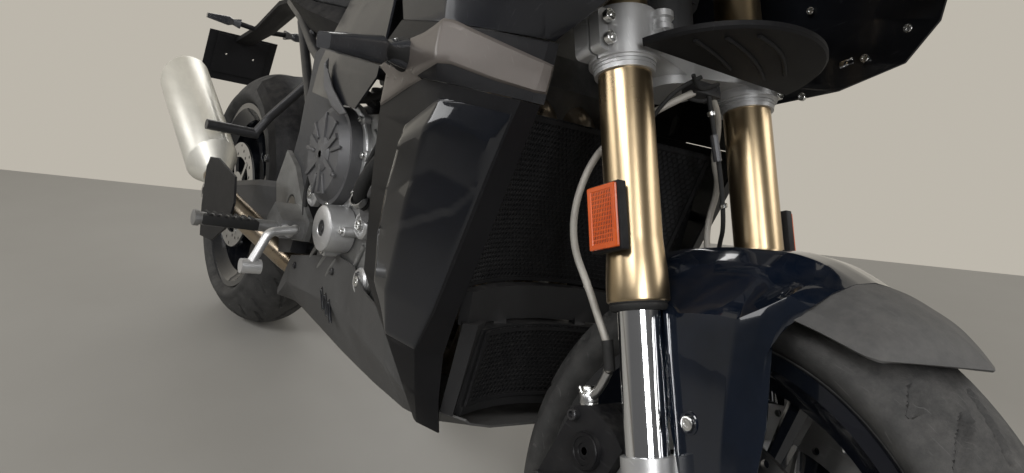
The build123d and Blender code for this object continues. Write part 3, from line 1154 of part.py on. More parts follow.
def side_stand():
    """The side stand: an eye on the pin, a forged leg, a tang and a flat foot on the floor."""
    pivot = Vector(*STAND_PIVOT)
    foot = stand_foot() + Vector(0, 0, 9)
    axis, _ = stand_axis()
    down = (stand_foot() - pivot).normalized()
    hinge = Plane(origin=pivot, x_dir=down, z_dir=axis)
    whole = hinge.location * (Cylinder(16, STAND_EYE) + Pos(16, 0, 0) * Box(32, 22, STAND_EYE))
    whole += rod(pivot + down * 27, foot, STAND_R + 2, STAND_R - 1.5)
    lean = Pos(*foot) * Rot(LEAN, 0, 0)
    whole += lean * Pos(4, 4, -5.5) * extrude(RectangleRounded(74, 46, 12), amount=3.5, both=True)
    knee = pivot + (foot - pivot) * 0.80
    whole += rod(knee, knee + Vector(18, 44, 6), 6)
    return whole - hinge.location * Cylinder(7.3, 60)


def with_stand_bracket(whole):
    """The frame with a forked bracket and pin under its left plate for the side stand."""
    pivot = Vector(*STAND_PIVOT)
    axis, _ = stand_axis()
    down = (stand_foot() - pivot).normalized()
    hinge = Plane(origin=pivot, x_dir=(down + FOLDED) * -1, z_dir=axis)
    whole -= hinge.location * Cylinder(21, STAND_EYE + 1.6)
    ears = Pos(34, 0, 0) * Box(16, 30, STAND_EYE + 19.6)
    for s in (-1, 1):
        ears += Pos(0, 0, s * 11.8) * Cylinder(17, 9) + Pos(17, 0, s * 11.8) * Box(34, 30, 9)
    return whole + hinge.location * (ears + Cylinder(7, 36))


def front_stay():
    """A stay from the steering head that carries the nose, with the instrument panel above it."""
    stay = rod((470, 0, 886.8), (684, 0, 960), 15)
    room = GUSSET_SIZE + 2 * FIT
    stay -= GUSSET * Box(room, room, room)
    stay -= FORK_FRAME * Pos(STEM_X, 0, 640) * Cylinder(HEAD_TUBE_R + FIT, 300)
    stay += Pos(681, 0, 960) * Box(17.4, 150, 70)
    panel = Pos(596, 0, 1056) * Rot(0, -62, 0) * extrude(
        RectangleRounded(104, 168, 12), amount=9, both=True)
    neck = rod((676, 0, 985), (604, 0, 1050), 9)
    return {"instrument_stay": stay + panel + neck}


# the whole machine, leaned on to its side stand
def lean_place():
    """Lean to the rider's left with both tyres on the floor."""
    lean = math.radians(LEAN)
    front_lift = FRONT_CROWN_R * (1 - math.cos(lean))
    rear_lift = REAR_CROWN_R * (1 - math.cos(lean))
    pitch = math.degrees(math.atan2(rear_lift - front_lift, WHEELBASE))
    return Pos(0, 0, (front_lift + rear_lift) / 2) * Rot(-LEAN, pitch, 0)


def bottom_centre(solids):
    """The middle of the floor under the box round all the solids."""
    boxes = [s.bounding_box() for s in solids]
    x = min(b.min.X for b in boxes) + max(b.max.X for b in boxes)
    y = min(b.min.Y for b in boxes) + max(b.max.Y for b in boxes)
    return Vector(x / 2, y / 2, min(b.min.Z for b in boxes))


def main():
    """Build every node and write it at its parked place."""
    nodes = {}
    steered = {}
    spun = {}
    for group in (fork_legs(), triple_clamps(), hoses(), reflectors(), controls()):
        steered.update(group)
    steered["front_axle"] = front_axle()
    steered["splash_guard"] = splash_guard()
    steered["front_fender"] = front_fender()
    steered["fender_extension"] = fender_extension()
    steered["front_calipers"] = [
        caliper(s, FRONT_DISC_Y, CALIPER_FOOT_R, CALIPER_TOP_R, 108, 40, 72) for s in (-1, 1)]
    spun.update(front_wheel())
    for name, solid in {**steered, **spun}.items():
        pieces = solid if isinstance(solid, list) else [solid]
        nodes[name] = [FORK_FRAME * s for s in pieces]
    for name, solid in rear_wheel().items():
        nodes[name] = [Pos(*REAR_AXLE) * solid]
    for group in (engine(), coolers(), fairings(), tank_and_seats(), tail_details(), swingarm(),
                  running_gear(), exhaust(), foot_controls(), front_stay()):
        for name, solid in group.items():
            nodes[name] = solid if isinstance(solid, list) else [solid]
    nodes["subframe"] = [subframe()]
    nodes["side_stand"] = [side_stand()]
    nodes["frame"] = [with_stand_bracket(frame())]
    place = lean_place()
    leaned = {}
    for name, pieces in nodes.items():
        leaned[name] = [solid for piece in pieces for solid in (place * piece).solids()]
    origin = bottom_centre([solid for solids in leaned.values() for solid in solids])
    for name, solids in leaned.items():
        moved = [Pos(*(origin * -1)) * solid for solid in solids]
        shape = moved[0] if len(moved) == 1 else Compound(children=moved)
        export_step(shape, "parts/" + name + ".step")
    print(len(nodes), "nodes, origin at", origin)


main()
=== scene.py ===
"""Sport touring motorcycle on its side stand: materials, finished pieces, floor, light and camera."""
import bpy
import json
import math
from mathutils import Matrix, Vector


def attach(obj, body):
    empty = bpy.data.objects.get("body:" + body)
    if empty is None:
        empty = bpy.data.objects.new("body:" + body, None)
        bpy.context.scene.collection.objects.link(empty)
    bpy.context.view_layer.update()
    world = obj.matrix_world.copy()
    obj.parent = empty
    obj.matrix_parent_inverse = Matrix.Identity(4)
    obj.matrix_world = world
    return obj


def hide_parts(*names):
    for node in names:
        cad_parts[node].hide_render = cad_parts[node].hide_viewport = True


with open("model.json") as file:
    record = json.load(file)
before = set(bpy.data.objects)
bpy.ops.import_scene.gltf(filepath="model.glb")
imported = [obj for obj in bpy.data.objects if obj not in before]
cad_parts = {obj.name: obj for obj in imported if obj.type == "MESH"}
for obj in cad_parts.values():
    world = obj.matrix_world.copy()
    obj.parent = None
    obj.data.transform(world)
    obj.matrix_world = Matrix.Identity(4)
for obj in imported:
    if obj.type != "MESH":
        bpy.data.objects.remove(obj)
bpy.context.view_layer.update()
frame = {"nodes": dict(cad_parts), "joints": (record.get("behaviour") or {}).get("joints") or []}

# ---------------------------------------------------------------- places
# Pieces are drawn in millimetres in one of three frames: BIKE stands upright with +X forward and +Y to
# the rider's left, FORK has its origin on the front axle and +Z up the fork tubes, REAR is on the rear axle.
MM = 0.001
LEAN = math.radians(13.5)
RAKE = math.radians(24.9)
WHEELBASE = 1522 * MM
FRONT_RADIUS, FRONT_CROWN = 300, 62
REAR_RADIUS, REAR_CROWN = 320.5, 100
FRONT_AXLE = Vector((WHEELBASE / 2, 0, FRONT_RADIUS * MM))
REAR_AXLE = Vector((-WHEELBASE / 2, 0, REAR_RADIUS * MM))
REAR_LIFT = REAR_CROWN * MM * (1 - math.cos(LEAN))
FRONT_LIFT = FRONT_CROWN * MM * (1 - math.cos(LEAN))
PITCH = math.atan2(REAR_LIFT - FRONT_LIFT, WHEELBASE)
joints = {j["name"]: j for j in frame["joints"]}
TURN = Matrix.Rotation(-LEAN, 4, "X") @ Matrix.Rotation(PITCH, 4, "Y")
SHIFT = Vector(joints["front_wheel_spin"]["pos_m"]) - TURN @ FRONT_AXLE
BIKE = Matrix.Translation(SHIFT) @ TURN
FORK = BIKE @ Matrix.Translation(FRONT_AXLE) @ Matrix.Rotation(-RAKE, 4, "Y")
REAR = BIKE @ Matrix.Translation(REAR_AXLE)
SIDES = ((-1, "right"), (1, "left"))


# ---------------------------------------------------------------- shader groups and materials
def group(name, inputs, outputs):
    """A new shader node group with named sockets, and its input and output nodes."""
    tree = bpy.data.node_groups.new(name, "ShaderNodeTree")
    for label, kind, value in inputs:
        socket = tree.interface.new_socket(name=label, in_out="INPUT", socket_type=kind)
        if value is not None:
            socket.default_value = value
    for label, kind in outputs:
        tree.interface.new_socket(name=label, in_out="OUTPUT", socket_type=kind)
    return tree, tree.nodes.new("NodeGroupInput"), tree.nodes.new("NodeGroupOutput")


def math_node(tree, operation, a, b=None, clamp=False):
    """A Math node on numbers or sockets."""
    node = tree.nodes.new("ShaderNodeMath")
    node.operation = operation
    node.use_clamp = clamp
    for i, value in enumerate((a, b)):
        if value is None:
            continue
        if isinstance(value, (int, float)):
            node.inputs[i].default_value = value
        else:
            tree.links.new(value, node.inputs[i])
    return node.outputs[0]


def noise_node(tree, vector, scale, detail=4.0, rough=0.6):
    """Noise over a vector, as a number from 0 to 1."""
    node = tree.nodes.new("ShaderNodeTexNoise")
    tree.links.new(vector, node.inputs["Vector"])
    if isinstance(scale, (int, float)):
        node.inputs["Scale"].default_value = scale
    else:
        tree.links.new(scale, node.inputs["Scale"])
    node.inputs["Detail"].default_value = detail
    node.inputs["Roughness"].default_value = rough
    return node.outputs["Fac"]


def ramp(tree, value, low, high):
    """0 at a low value and 1 at a high one."""
    node = tree.nodes.new("ShaderNodeMapRange")
    tree.links.new(value, node.inputs["Value"])
    node.inputs["From Min"].default_value = low
    node.inputs["From Max"].default_value = high
    return node.outputs["Result"]


def make_worn_surface():
    """Grain, soft patches and thin scratches, as masks that change over the surface."""
    tree, into, out = group(
        "worn_surface",
        [("Vector", "NodeSocketVector", None), ("Grain Scale", "NodeSocketFloat", 900.0),
         ("Patch Scale", "NodeSocketFloat", 7.0)],
        [("Grain", "NodeSocketFloat"), ("Patches", "NodeSocketFloat"), ("Scratches", "NodeSocketFloat")])
    vector = into.outputs["Vector"]
    tree.links.new(noise_node(tree, vector, into.outputs["Grain Scale"], 3), out.inputs["Grain"])
    patch = noise_node(tree, vector, into.outputs["Patch Scale"], 6, 0.65)
    tree.links.new(ramp(tree, patch, 0.35, 0.7), out.inputs["Patches"])
    stretch = tree.nodes.new("ShaderNodeMapping")
    stretch.inputs["Scale"].default_value = (30, 900, 60)
    stretch.inputs["Rotation"].default_value = (0.4, 0.7, 0.2)
    tree.links.new(vector, stretch.inputs["Vector"])
    lines = noise_node(tree, stretch.outputs["Vector"], 1.0, 2, 0.5)
    tree.links.new(ramp(tree, lines, 0.66, 0.74), out.inputs["Scratches"])
    return tree


def make_brushed():
    """Fine lines that run round an axis or along it: stretched noise as a mask."""
    tree, into, out = group(
        "brushed_lines",
        [("Vector", "NodeSocketVector", None), ("Fine", "NodeSocketFloat", 1.0)],
        [("Lines", "NodeSocketFloat"), ("Bands", "NodeSocketFloat")])
    fine = noise_node(tree, into.outputs["Vector"], into.outputs["Fine"], 5, 0.7)
    tree.links.new(fine, out.inputs["Lines"])
    broad = noise_node(tree, into.outputs["Vector"], 0.06, 2, 0.5)
    tree.links.new(broad, out.inputs["Bands"])
    return tree


def make_dust():
    """Dust that gathers where the surface looks up, broken by noise."""
    tree, into, out = group(
        "settled_dust",
        [("Vector", "NodeSocketVector", None), ("Amount", "NodeSocketFloat", 0.3)],
        [("Mask", "NodeSocketFloat")])
    normal = tree.nodes.new("ShaderNodeNewGeometry")
    split = tree.nodes.new("ShaderNodeSeparateXYZ")
    tree.links.new(normal.outputs["Normal"], split.inputs[0])
    up = ramp(tree, split.outputs["Z"], 0.1, 1.0)
    speck = ramp(tree, noise_node(tree, into.outputs["Vector"], 45.0, 8, 0.75), 0.4, 0.75)
    mask = math_node(tree, "MULTIPLY", up, speck)
    tree.links.new(math_node(tree, "MULTIPLY", mask, into.outputs["Amount"], True), out.inputs["Mask"])
    return tree


WORN = make_worn_surface()
BRUSHED = make_brushed()
DUST = make_dust()
DUST_COLOUR = (0.32, 0.30, 0.28)
materials = {}


def place_group(tree, shared):
    """A shared group placed in one material."""
    node = tree.nodes.new("ShaderNodeGroup")
    node.node_tree = shared
    return node


def mix_colour(tree, mask, first, second):
    """The first colour where the mask is 0, the second where it is 1; colours or sockets."""
    node = tree.nodes.new("ShaderNodeMix")
    node.data_type = "RGBA"
    tree.links.new(mask, node.inputs[0])
    for index, value in ((6, first), (7, second)):
        if isinstance(value, tuple):
            node.inputs[index].default_value = (*value, 1.0)
        else:
            tree.links.new(value, node.inputs[index])
    return node.outputs[2]


def scaled(tree, value, low, high):
    """A 0 to 1 value brought between two numbers."""
    node = tree.nodes.new("ShaderNodeMapRange")
    tree.links.new(value, node.inputs["Value"])
    node.inputs["To Min"].default_value = low
    node.inputs["To Max"].default_value = high
    return node.outputs["Result"]


def finish_material(name, colour, light, rough, rough_worn, metal=0.0, coat=0.0, bump=0.05,
                    grain=900.0, patch=7.0, dust=0.2, scratch=0.25, coat_rough=0.05,
                    brushed=None, sockets=()):
    """A Principled material: two tones in patches, grain bump, scratches and settled dust."""
    material = bpy.data.materials.new(name)
    material.use_nodes = True
    tree = material.node_tree
    shader = tree.nodes["Principled BSDF"]
    where = tree.nodes.new("ShaderNodeTexCoord").outputs["Object"]
    worn = place_group(tree, WORN)
    tree.links.new(where, worn.inputs["Vector"])
    worn.inputs["Grain Scale"].default_value = grain
    worn.inputs["Patch Scale"].default_value = patch
    colour_out = mix_colour(tree, worn.outputs["Patches"], colour, light)
    height = worn.outputs["Grain"]
    roughness = scaled(tree, worn.outputs["Patches"], rough, rough_worn)
    if brushed:
        stretch = tree.nodes.new("ShaderNodeMapping")
        stretch.inputs["Scale"].default_value = brushed
        tree.links.new(where, stretch.inputs["Vector"])
        lines = place_group(tree, BRUSHED)
        tree.links.new(stretch.outputs["Vector"], lines.inputs["Vector"])
        height = lines.outputs["Lines"]
        roughness = scaled(tree, lines.outputs["Lines"], rough, rough_worn)
        darker = tuple(c * 0.72 for c in colour)
        toned = mix_colour(tree, scaled(tree, lines.outputs["Bands"], 0.0, 0.8), darker, light)
        colour_out = mix_colour(tree, scaled(tree, lines.outputs["Lines"], 0.0, 0.35), toned, colour)
    if scratch:
        lighter = tuple(min(1.0, c * 1.6 + 0.04) for c in light)
        amount = math_node(tree, "MULTIPLY", worn.outputs["Scratches"], scratch)
        colour_out = mix_colour(tree, amount, colour_out, lighter)
    if dust:
        dusty = place_group(tree, DUST)
        tree.links.new(where, dusty.inputs["Vector"])
        dusty.inputs["Amount"].default_value = dust
        colour_out = mix_colour(tree, dusty.outputs["Mask"], colour_out, DUST_COLOUR)
    tree.links.new(colour_out, shader.inputs["Base Color"])
    tree.links.new(roughness, shader.inputs["Roughness"])
    shader.inputs["Metallic"].default_value = metal
    shader.inputs["Coat Weight"].default_value = coat
    shader.inputs["Coat Roughness"].default_value = coat_rough
    for label, value in sockets:
        shader.inputs[label].default_value = value
    if bump:
        relief = tree.nodes.new("ShaderNodeBump")
        relief.inputs["Strength"].default_value = bump
        relief.inputs["Distance"].default_value = 0.001
        tree.links.new(height, relief.inputs["Height"])
        tree.links.new(relief.outputs["Normal"], shader.inputs["Normal"])
    materials[name] = material


LOW_SHINE = (("Specular IOR Level", 0.2),)
finish_material("gold_anodised_tube", (0.40, 0.30, 0.18), (0.52, 0.41, 0.26), 0.26, 0.34, metal=1.0,
                bump=0.02, grain=2600, patch=3, dust=0.04, scratch=0.08)
finish_material("bright_tube", (0.80, 0.81, 0.83), (0.86, 0.87, 0.88), 0.04, 0.10, metal=1.0,
                bump=0.01, dust=0.03, scratch=0.1)
finish_material("silver_casting", (0.50, 0.50, 0.50), (0.60, 0.60, 0.60), 0.34, 0.50, metal=0.75,
                bump=0.12, grain=1400, dust=0.1)
finish_material("machined_steel", (0.50, 0.50, 0.50), (0.64, 0.64, 0.63), 0.22, 0.42, metal=1.0,
                bump=0.04, brushed=(600, 60, 600), dust=0.05)
finish_material("bright_bolt", (0.62, 0.62, 0.60), (0.75, 0.75, 0.74), 0.20, 0.35, metal=1.0, bump=0.03)
finish_material("dark_bolt", (0.05, 0.05, 0.055), (0.09, 0.09, 0.09), 0.30, 0.50, metal=0.8, bump=0.05)
finish_material("gloss_black", (0.003, 0.004, 0.006), (0.005, 0.006, 0.010), 0.12, 0.18, coat=0.7,
                bump=0.0, dust=0.04, scratch=0.04, coat_rough=0.03, sockets=LOW_SHINE)
finish_material("gloss_blue_black", (0.002, 0.004, 0.008), (0.004, 0.007, 0.015), 0.09, 0.14, coat=0.8,
                bump=0.0, dust=0.03, scratch=0.04, coat_rough=0.02, sockets=LOW_SHINE)
finish_material("matt_black_plastic", (0.006, 0.006, 0.007), (0.010, 0.010, 0.011), 0.52, 0.66,
                bump=0.25, grain=1500, dust=0.12, sockets=LOW_SHINE)
finish_material("satin_black_panel", (0.003, 0.003, 0.004), (0.005, 0.005, 0.006), 0.36, 0.46,
                bump=0.10, grain=2200, dust=0.08, scratch=0.12, sockets=LOW_SHINE)
finish_material("extension_grey", (0.062, 0.061, 0.060), (0.084, 0.083, 0.081), 0.55, 0.68,
                bump=0.28, grain=1700, dust=0.15, sockets=LOW_SHINE)
finish_material("tyre_rubber", (0.016, 0.016, 0.016), (0.050, 0.049, 0.047), 0.72, 0.88, bump=0.5,
                grain=900, patch=30, dust=0.2, scratch=0.5)
finish_material("black_rubber", (0.012, 0.012, 0.012), (0.022, 0.022, 0.022), 0.62, 0.80, bump=0.3,
                grain=1200, sockets=LOW_SHINE)
finish_material("braided_hose", (0.30, 0.28, 0.25), (0.44, 0.42, 0.38), 0.42, 0.55, metal=0.35, bump=0.6,
                grain=1500, dust=0.05, scratch=0.0)
finish_material("taupe_band", (0.105, 0.092, 0.084), (0.125, 0.110, 0.100), 0.34, 0.42, metal=0.35,
                coat=0.35, bump=0.05, grain=3500, dust=0.05, coat_rough=0.15)
finish_material("slate_paint", (0.008, 0.009, 0.012), (0.012, 0.013, 0.017), 0.30, 0.40, metal=0.1,
                coat=0.4, bump=0.05, grain=3500, dust=0.06, coat_rough=0.12, sockets=LOW_SHINE)
finish_material("frame_grey", (0.045, 0.046, 0.050), (0.065, 0.066, 0.070), 0.42, 0.58, metal=0.3,
                bump=0.22, grain=1100, dust=0.15)
finish_material("dark_metal", (0.032, 0.032, 0.034), (0.052, 0.052, 0.055), 0.34, 0.5, metal=0.5,
                bump=0.1, dust=0.1)
finish_material("cast_engine", (0.20, 0.20, 0.20), (0.33, 0.33, 0.32), 0.40, 0.62, metal=0.85,
                bump=0.55, grain=650, patch=20, dust=0.15)
finish_material("cover_grey", (0.090, 0.090, 0.094), (0.130, 0.130, 0.134), 0.45, 0.60, metal=0.5,
                bump=0.3, grain=900, dust=0.12)
finish_material("cooler_black", (0.008, 0.008, 0.009), (0.015, 0.015, 0.016), 0.5, 0.7, metal=0.2,
                bump=0.1)
finish_material("brushed_silencer", (0.82, 0.80, 0.72), (0.92, 0.90, 0.82), 0.36, 0.50, metal=0.6,
                bump=0.05, brushed=(50, 900, 900), dust=0.04)
finish_material("header_steel", (0.35, 0.28, 0.20), (0.48, 0.42, 0.34), 0.25, 0.45, metal=1.0,
                bump=0.06, patch=12)
finish_material("amber_lens", (0.44, 0.055, 0.005), (0.58, 0.10, 0.012), 0.22, 0.34, coat=0.35, bump=0.0,
                dust=0.0, scratch=0.0)
finish_material("red_lens", (0.30, 0.008, 0.008), (0.40, 0.015, 0.012), 0.12, 0.2, coat=1.0, bump=0.0,
                dust=0.0, scratch=0.0)
finish_material("seat_cover", (0.016, 0.016, 0.017), (0.026, 0.026, 0.028), 0.50, 0.66, bump=0.5,
                grain=420, dust=0.1, sockets=(("Sheen Weight", 0.15),))
finish_material("chain_steel", (0.20, 0.19, 0.17), (0.33, 0.31, 0.27), 0.35, 0.5, metal=1.0, bump=0.1)
finish_material("mirror_glass", (0.85, 0.86, 0.88), (0.90, 0.90, 0.92), 0.02, 0.04, metal=1.0,
                bump=0.0, dust=0.0, scratch=0.0)
finish_material("smoked_lens", (0.035, 0.036, 0.040), (0.060, 0.062, 0.068), 0.10, 0.16, coat=0.5, bump=0.0,
                dust=0.03, scratch=0.1, sockets=(("Transmission Weight", 0.25), ("IOR", 1.45)))


def clear_material(name, tint, rough, alpha):
    """Clear plastic that lets the things behind it show."""
    finish_material(name, tint, tuple(min(1, c * 1.1) for c in tint), rough, rough + 0.05,
                    coat=0.6, bump=0.0, dust=0.05, scratch=0.06,
                    sockets=(("Transmission Weight", 0.9), ("IOR", 1.3), ("Alpha", alpha)))


clear_material("clear_screen", (0.80, 0.83, 0.85), 0.06, 0.28)
clear_material("clear_lamp", (0.85, 0.87, 0.90), 0.02, 0.45)

NODE_FINISH = {
    "fork_outer_tubes": "gold_anodised_tube", "fork_dust_seals": "black_rubber",
    "fork_inner_tubes": "bright_tube", "fork_castings": "silver_casting", "fork_yokes": "silver_casting",
    "brake_hoses": "black_rubber", "reflectors": "matt_black_plastic", "handlebar": "dark_metal",
    "grips": "black_rubber", "hand_controls": "matt_black_plastic", "mirrors": "matt_black_plastic",
    "front_axle": "machined_steel", "splash_guard": "matt_black_plastic",
    "front_fender": "gloss_blue_black", "fender_extension": "extension_grey",
    "front_calipers": "matt_black_plastic", "front_tyre": "tyre_rubber", "front_rim": "gloss_black",
    "front_discs": "machined_steel", "rear_tyre": "tyre_rubber", "rear_rim": "gloss_black",
    "rear_disc": "machined_steel", "rear_sprocket": "chain_steel", "side_stand": "dark_metal",
    "frame": "frame_grey", "subframe": "dark_metal", "engine_block": "cast_engine",
    "engine_covers": "cover_grey", "coolers": "cooler_black", "cooler_guards": "matt_black_plastic",
    "side_cowls": "satin_black_panel", "fairing_bands": "satin_black_panel", "upper_fairings": "slate_paint",
    "nose_fairing": "slate_paint", "headlamps": "clear_lamp", "windscreen": "clear_screen",
    "belly_pan": "extension_grey", "fuel_tank": "slate_paint", "tank_side_panels": "slate_paint",
    "rider_seat": "seat_cover", "pillion_seat": "seat_cover", "tail_unit": "matt_black_plastic",
    "grab_rails": "matt_black_plastic", "tail_lamp": "red_lens", "plate_holder": "matt_black_plastic",
    "turn_signals": "smoked_lens", "swingarm": "frame_grey", "pivot_and_axle": "machined_steel",
    "chain": "chain_steel", "hugger": "matt_black_plastic", "rear_shock": "dark_metal",
    "exhaust_pipes": "header_steel", "silencer": "brushed_silencer",
    "exhaust_shield": "matt_black_plastic", "foot_levers": "silver_casting",
    "footrests": "cast_engine", "instrument_stay": "matt_black_plastic"}


def dress_nodes():
    """Give each CAD node its material, and smooth its curved walls by welding and splitting edges."""
    for name, node in frame["nodes"].items():
        node.data.materials.clear()
        node.data.materials.append(materials[NODE_FINISH[name]])
        node.data.polygons.foreach_set("use_smooth", [True] * len(node.data.polygons))
        weld = node.modifiers.new("weld", "WELD")
        weld.merge_threshold = 0.00001
        crease = node.modifiers.new("crease", "EDGE_SPLIT")
        crease.split_angle = math.radians(32)


dress_nodes()


# ---------------------------------------------------------------- modelling helpers
HERE = Matrix.Identity(4)


def deselect():
    bpy.ops.object.select_all(action="DESELECT")


def choose(*pieces):
    """Select these pieces alone, the first one active."""
    deselect()
    for piece in pieces:
        piece.select_set(True)
    bpy.context.view_layer.objects.active = pieces[0]


def joined(pieces):
    """Several pieces made one, in the first one's place."""
    choose(*pieces)
    if len(pieces) > 1:
        bpy.ops.object.join()
    return pieces[0]


def duplicate(source, name, place):
    """A copy of a piece with its own mesh, moved to a place."""
    copy = bpy.data.objects.new(name, source.data.copy())
    bpy.context.scene.collection.objects.link(copy)
    copy.data.transform(place)
    return copy


def apply_modifiers(obj):
    """Make a piece's modifiers part of its mesh, in their order."""
    choose(obj)
    for modifier in list(obj.modifiers):
        bpy.ops.object.modifier_apply(modifier=modifier.name)
    return obj


def edit_faces(obj, wanted=None):
    """Open a piece for editing with all faces selected, or only those that pass a test."""
    choose(obj)
    bpy.ops.object.mode_set(mode="EDIT")
    bpy.ops.mesh.select_all(action="DESELECT" if wanted else "SELECT")
    if wanted:
        bpy.ops.object.mode_set(mode="OBJECT")
        for face in obj.data.polygons:
            face.select = wanted(face)
        bpy.ops.object.mode_set(mode="EDIT")


def close_edit():
    bpy.ops.object.mode_set(mode="OBJECT")


def settle(obj, name, body, finish, place=HERE, angle=35):
    """Apply what is live on a piece, put its place in its mesh, and give it material and body."""
    apply_modifiers(obj)
    bpy.ops.object.transform_apply(location=True, rotation=True, scale=True)
    obj.data.transform(place)
    obj.data.materials.clear()
    obj.data.materials.append(materials[finish])
    obj.name = name
    if angle:
        bpy.ops.object.shade_smooth_by_angle(angle=math.radians(angle))
    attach(obj, body)
    return obj


def face_out(obj, outward):
    """Turn an open sheet's faces to look along a direction."""
    normal = Vector((0, 0, 0))
    for face in obj.data.polygons:
        normal += face.normal * face.area
    if normal.dot(Vector(outward)) < 0:
        edit_faces(obj)
        bpy.ops.mesh.flip_normals()
        close_edit()


def sheet(name, columns, rows, spot, outward, wall=0.0):
    """A grid whose points are moved to spot(i, j) in millimetres, walled inward where asked."""
    deselect()
    bpy.ops.mesh.primitive_grid_add(x_subdivisions=columns - 1, y_subdivisions=rows - 1, size=1)
    obj = bpy.context.active_object
    for vertex in obj.data.vertices:
        i = round((vertex.co.x + 0.5) * (columns - 1))
        j = round((vertex.co.y + 0.5) * (rows - 1))
        vertex.co = Vector(spot(i, j)) * MM
    obj.data.update()
    obj.name = name
    face_out(obj, outward)
    if wall:
        skin = obj.modifiers.new("wall", "SOLIDIFY")
        skin.thickness = wall * MM
        skin.offset = -1
    return obj


def ring(name, around, across, spot):
    """A closed ring whose section points are moved to spot(i, k) in millimetres."""
    deselect()
    bpy.ops.mesh.primitive_grid_add(x_subdivisions=around, y_subdivisions=across, size=1)
    obj = bpy.context.active_object
    for vertex in obj.data.vertices:
        i = round((vertex.co.x + 0.5) * around) % around
        k = round((vertex.co.y + 0.5) * across) % across
        vertex.co = Vector(spot(i, k)) * MM
    obj.name = name
    edit_faces(obj)
    bpy.ops.mesh.remove_doubles(threshold=0.000001)
    bpy.ops.mesh.normals_make_consistent(inside=False)
    close_edit()
    return obj


def turned(name, outline, steps=48):
    """A round piece about Z: an outline of (radius, height) in millimetres, spun and welded."""
    deselect()
    bpy.ops.mesh.primitive_circle_add(vertices=len(outline), radius=1)
    obj = bpy.context.active_object
    for vertex, (radius, height) in zip(obj.data.vertices, outline):
        vertex.co = (radius * MM, 0, height * MM)
    last = len(outline) - 1
    on_axis = outline[0][0] == 0 and outline[-1][0] == 0
    if on_axis:
        bpy.ops.object.mode_set(mode="EDIT")
        bpy.ops.mesh.select_mode(type="EDGE")
        bpy.ops.mesh.select_all(action="DESELECT")
        bpy.ops.object.mode_set(mode="OBJECT")
        for edge in obj.data.edges:
            edge.select = set(edge.vertices) == {0, last}
        bpy.ops.object.mode_set(mode="EDIT")
        bpy.ops.mesh.delete(type="EDGE")
        bpy.ops.mesh.select_mode(type="VERT")
        bpy.ops.object.mode_set(mode="OBJECT")
    edit_faces(obj)
    bpy.ops.mesh.spin(steps=steps, angle=2 * math.pi, center=(0, 0, 0), axis=(0, 0, 1))
    bpy.ops.mesh.select_all(action="SELECT")
    bpy.ops.mesh.remove_doubles(threshold=0.00002)
    bpy.ops.mesh.normals_make_consistent(inside=False)
    close_edit()
    obj.name = name
    return obj


def tube(name, points, radius):
    """A round cable or rod along a smooth line through control points in millimetres."""
    deselect()
    bpy.ops.curve.primitive_nurbs_path_add()
    obj = bpy.context.active_object
    curve = obj.data
    curve.splines.clear()
    line = curve.splines.new("NURBS")
    line.points.add(len(points) - 1)
    for point, place in zip(line.points, points):
        point.co = (*(c * MM for c in place), 1)
    line.order_u = 3
    line.use_endpoint_u = True
    curve.bevel_depth = radius * MM
    curve.bevel_resolution = 3
    curve.resolution_u = 8
    curve.use_fill_caps = True
    obj.name = name
    bpy.ops.object.convert(target="MESH")
    return bpy.context.active_object


def slab(name, size, bevel, inset=None, segments=2):
    """A block in metres with rounded edges, its top face set in and pressed down where asked."""
    deselect()
    bpy.ops.mesh.primitive_cube_add(size=1, location=(0, 0, 0))
    obj = bpy.context.active_object
    obj.name = name
    obj.scale = size
    bpy.ops.object.transform_apply(location=False, rotation=False, scale=True)
    if inset:
        edit_faces(obj, lambda face: face.normal.z > 0.9)
        bpy.ops.mesh.inset(thickness=inset[0], depth=0)
        bpy.ops.mesh.extrude_region_move(TRANSFORM_OT_translate={"value": (0, 0, -inset[1])})
        close_edit()
    rounding = obj.modifiers.new("round", "BEVEL")
    rounding.width = bevel
    rounding.segments = segments
    return obj


def frame_at(place, spot, toward, twist=0.0):
    """A matrix whose Z looks along a direction from a spot, inside a place; spots in millimetres."""
    turn = Vector(toward).to_track_quat("Z", "Y").to_matrix().to_4x4()
    return place @ Matrix.Translation(Vector(spot) * MM) @ turn @ Matrix.Rotation(twist, 4, "Z")


def socket_bolt(radius, height):
    """A cap screw: a turned head with a rounded rim and a socket."""
    return turned("bolt", [(0, -1), (radius, -1), (radius, height * 0.84), (radius * 0.88, height),
                           (radius * 0.56, height), (radius * 0.5, height * 0.5), (0, height * 0.45)], 12)


def scatter(source, name, places, body, finish, angle=35):
    """Copies of one small piece at several places, joined as one set with its own mesh."""
    copies = [duplicate(source, name, place) for place in places]
    bpy.data.objects.remove(source)
    return settle(joined(copies), name, body, finish, HERE, angle)


def bolts(name, place, spots, toward, radius, height, body, finish):
    """Cap screws at spots of a frame, each with its socket turned a little further."""
    heads = [frame_at(place, spot, toward, 0.3 * i) for i, spot in enumerate(spots)]
    return scatter(socket_bolt(radius, height), name, heads, body, finish)


def on_circle(a, b, radius, degrees):
    """Points on a circle about (a, b), one for each angle."""
    return [(a + radius * math.cos(math.radians(turn)), b + radius * math.sin(math.radians(turn)))
            for turn in degrees]


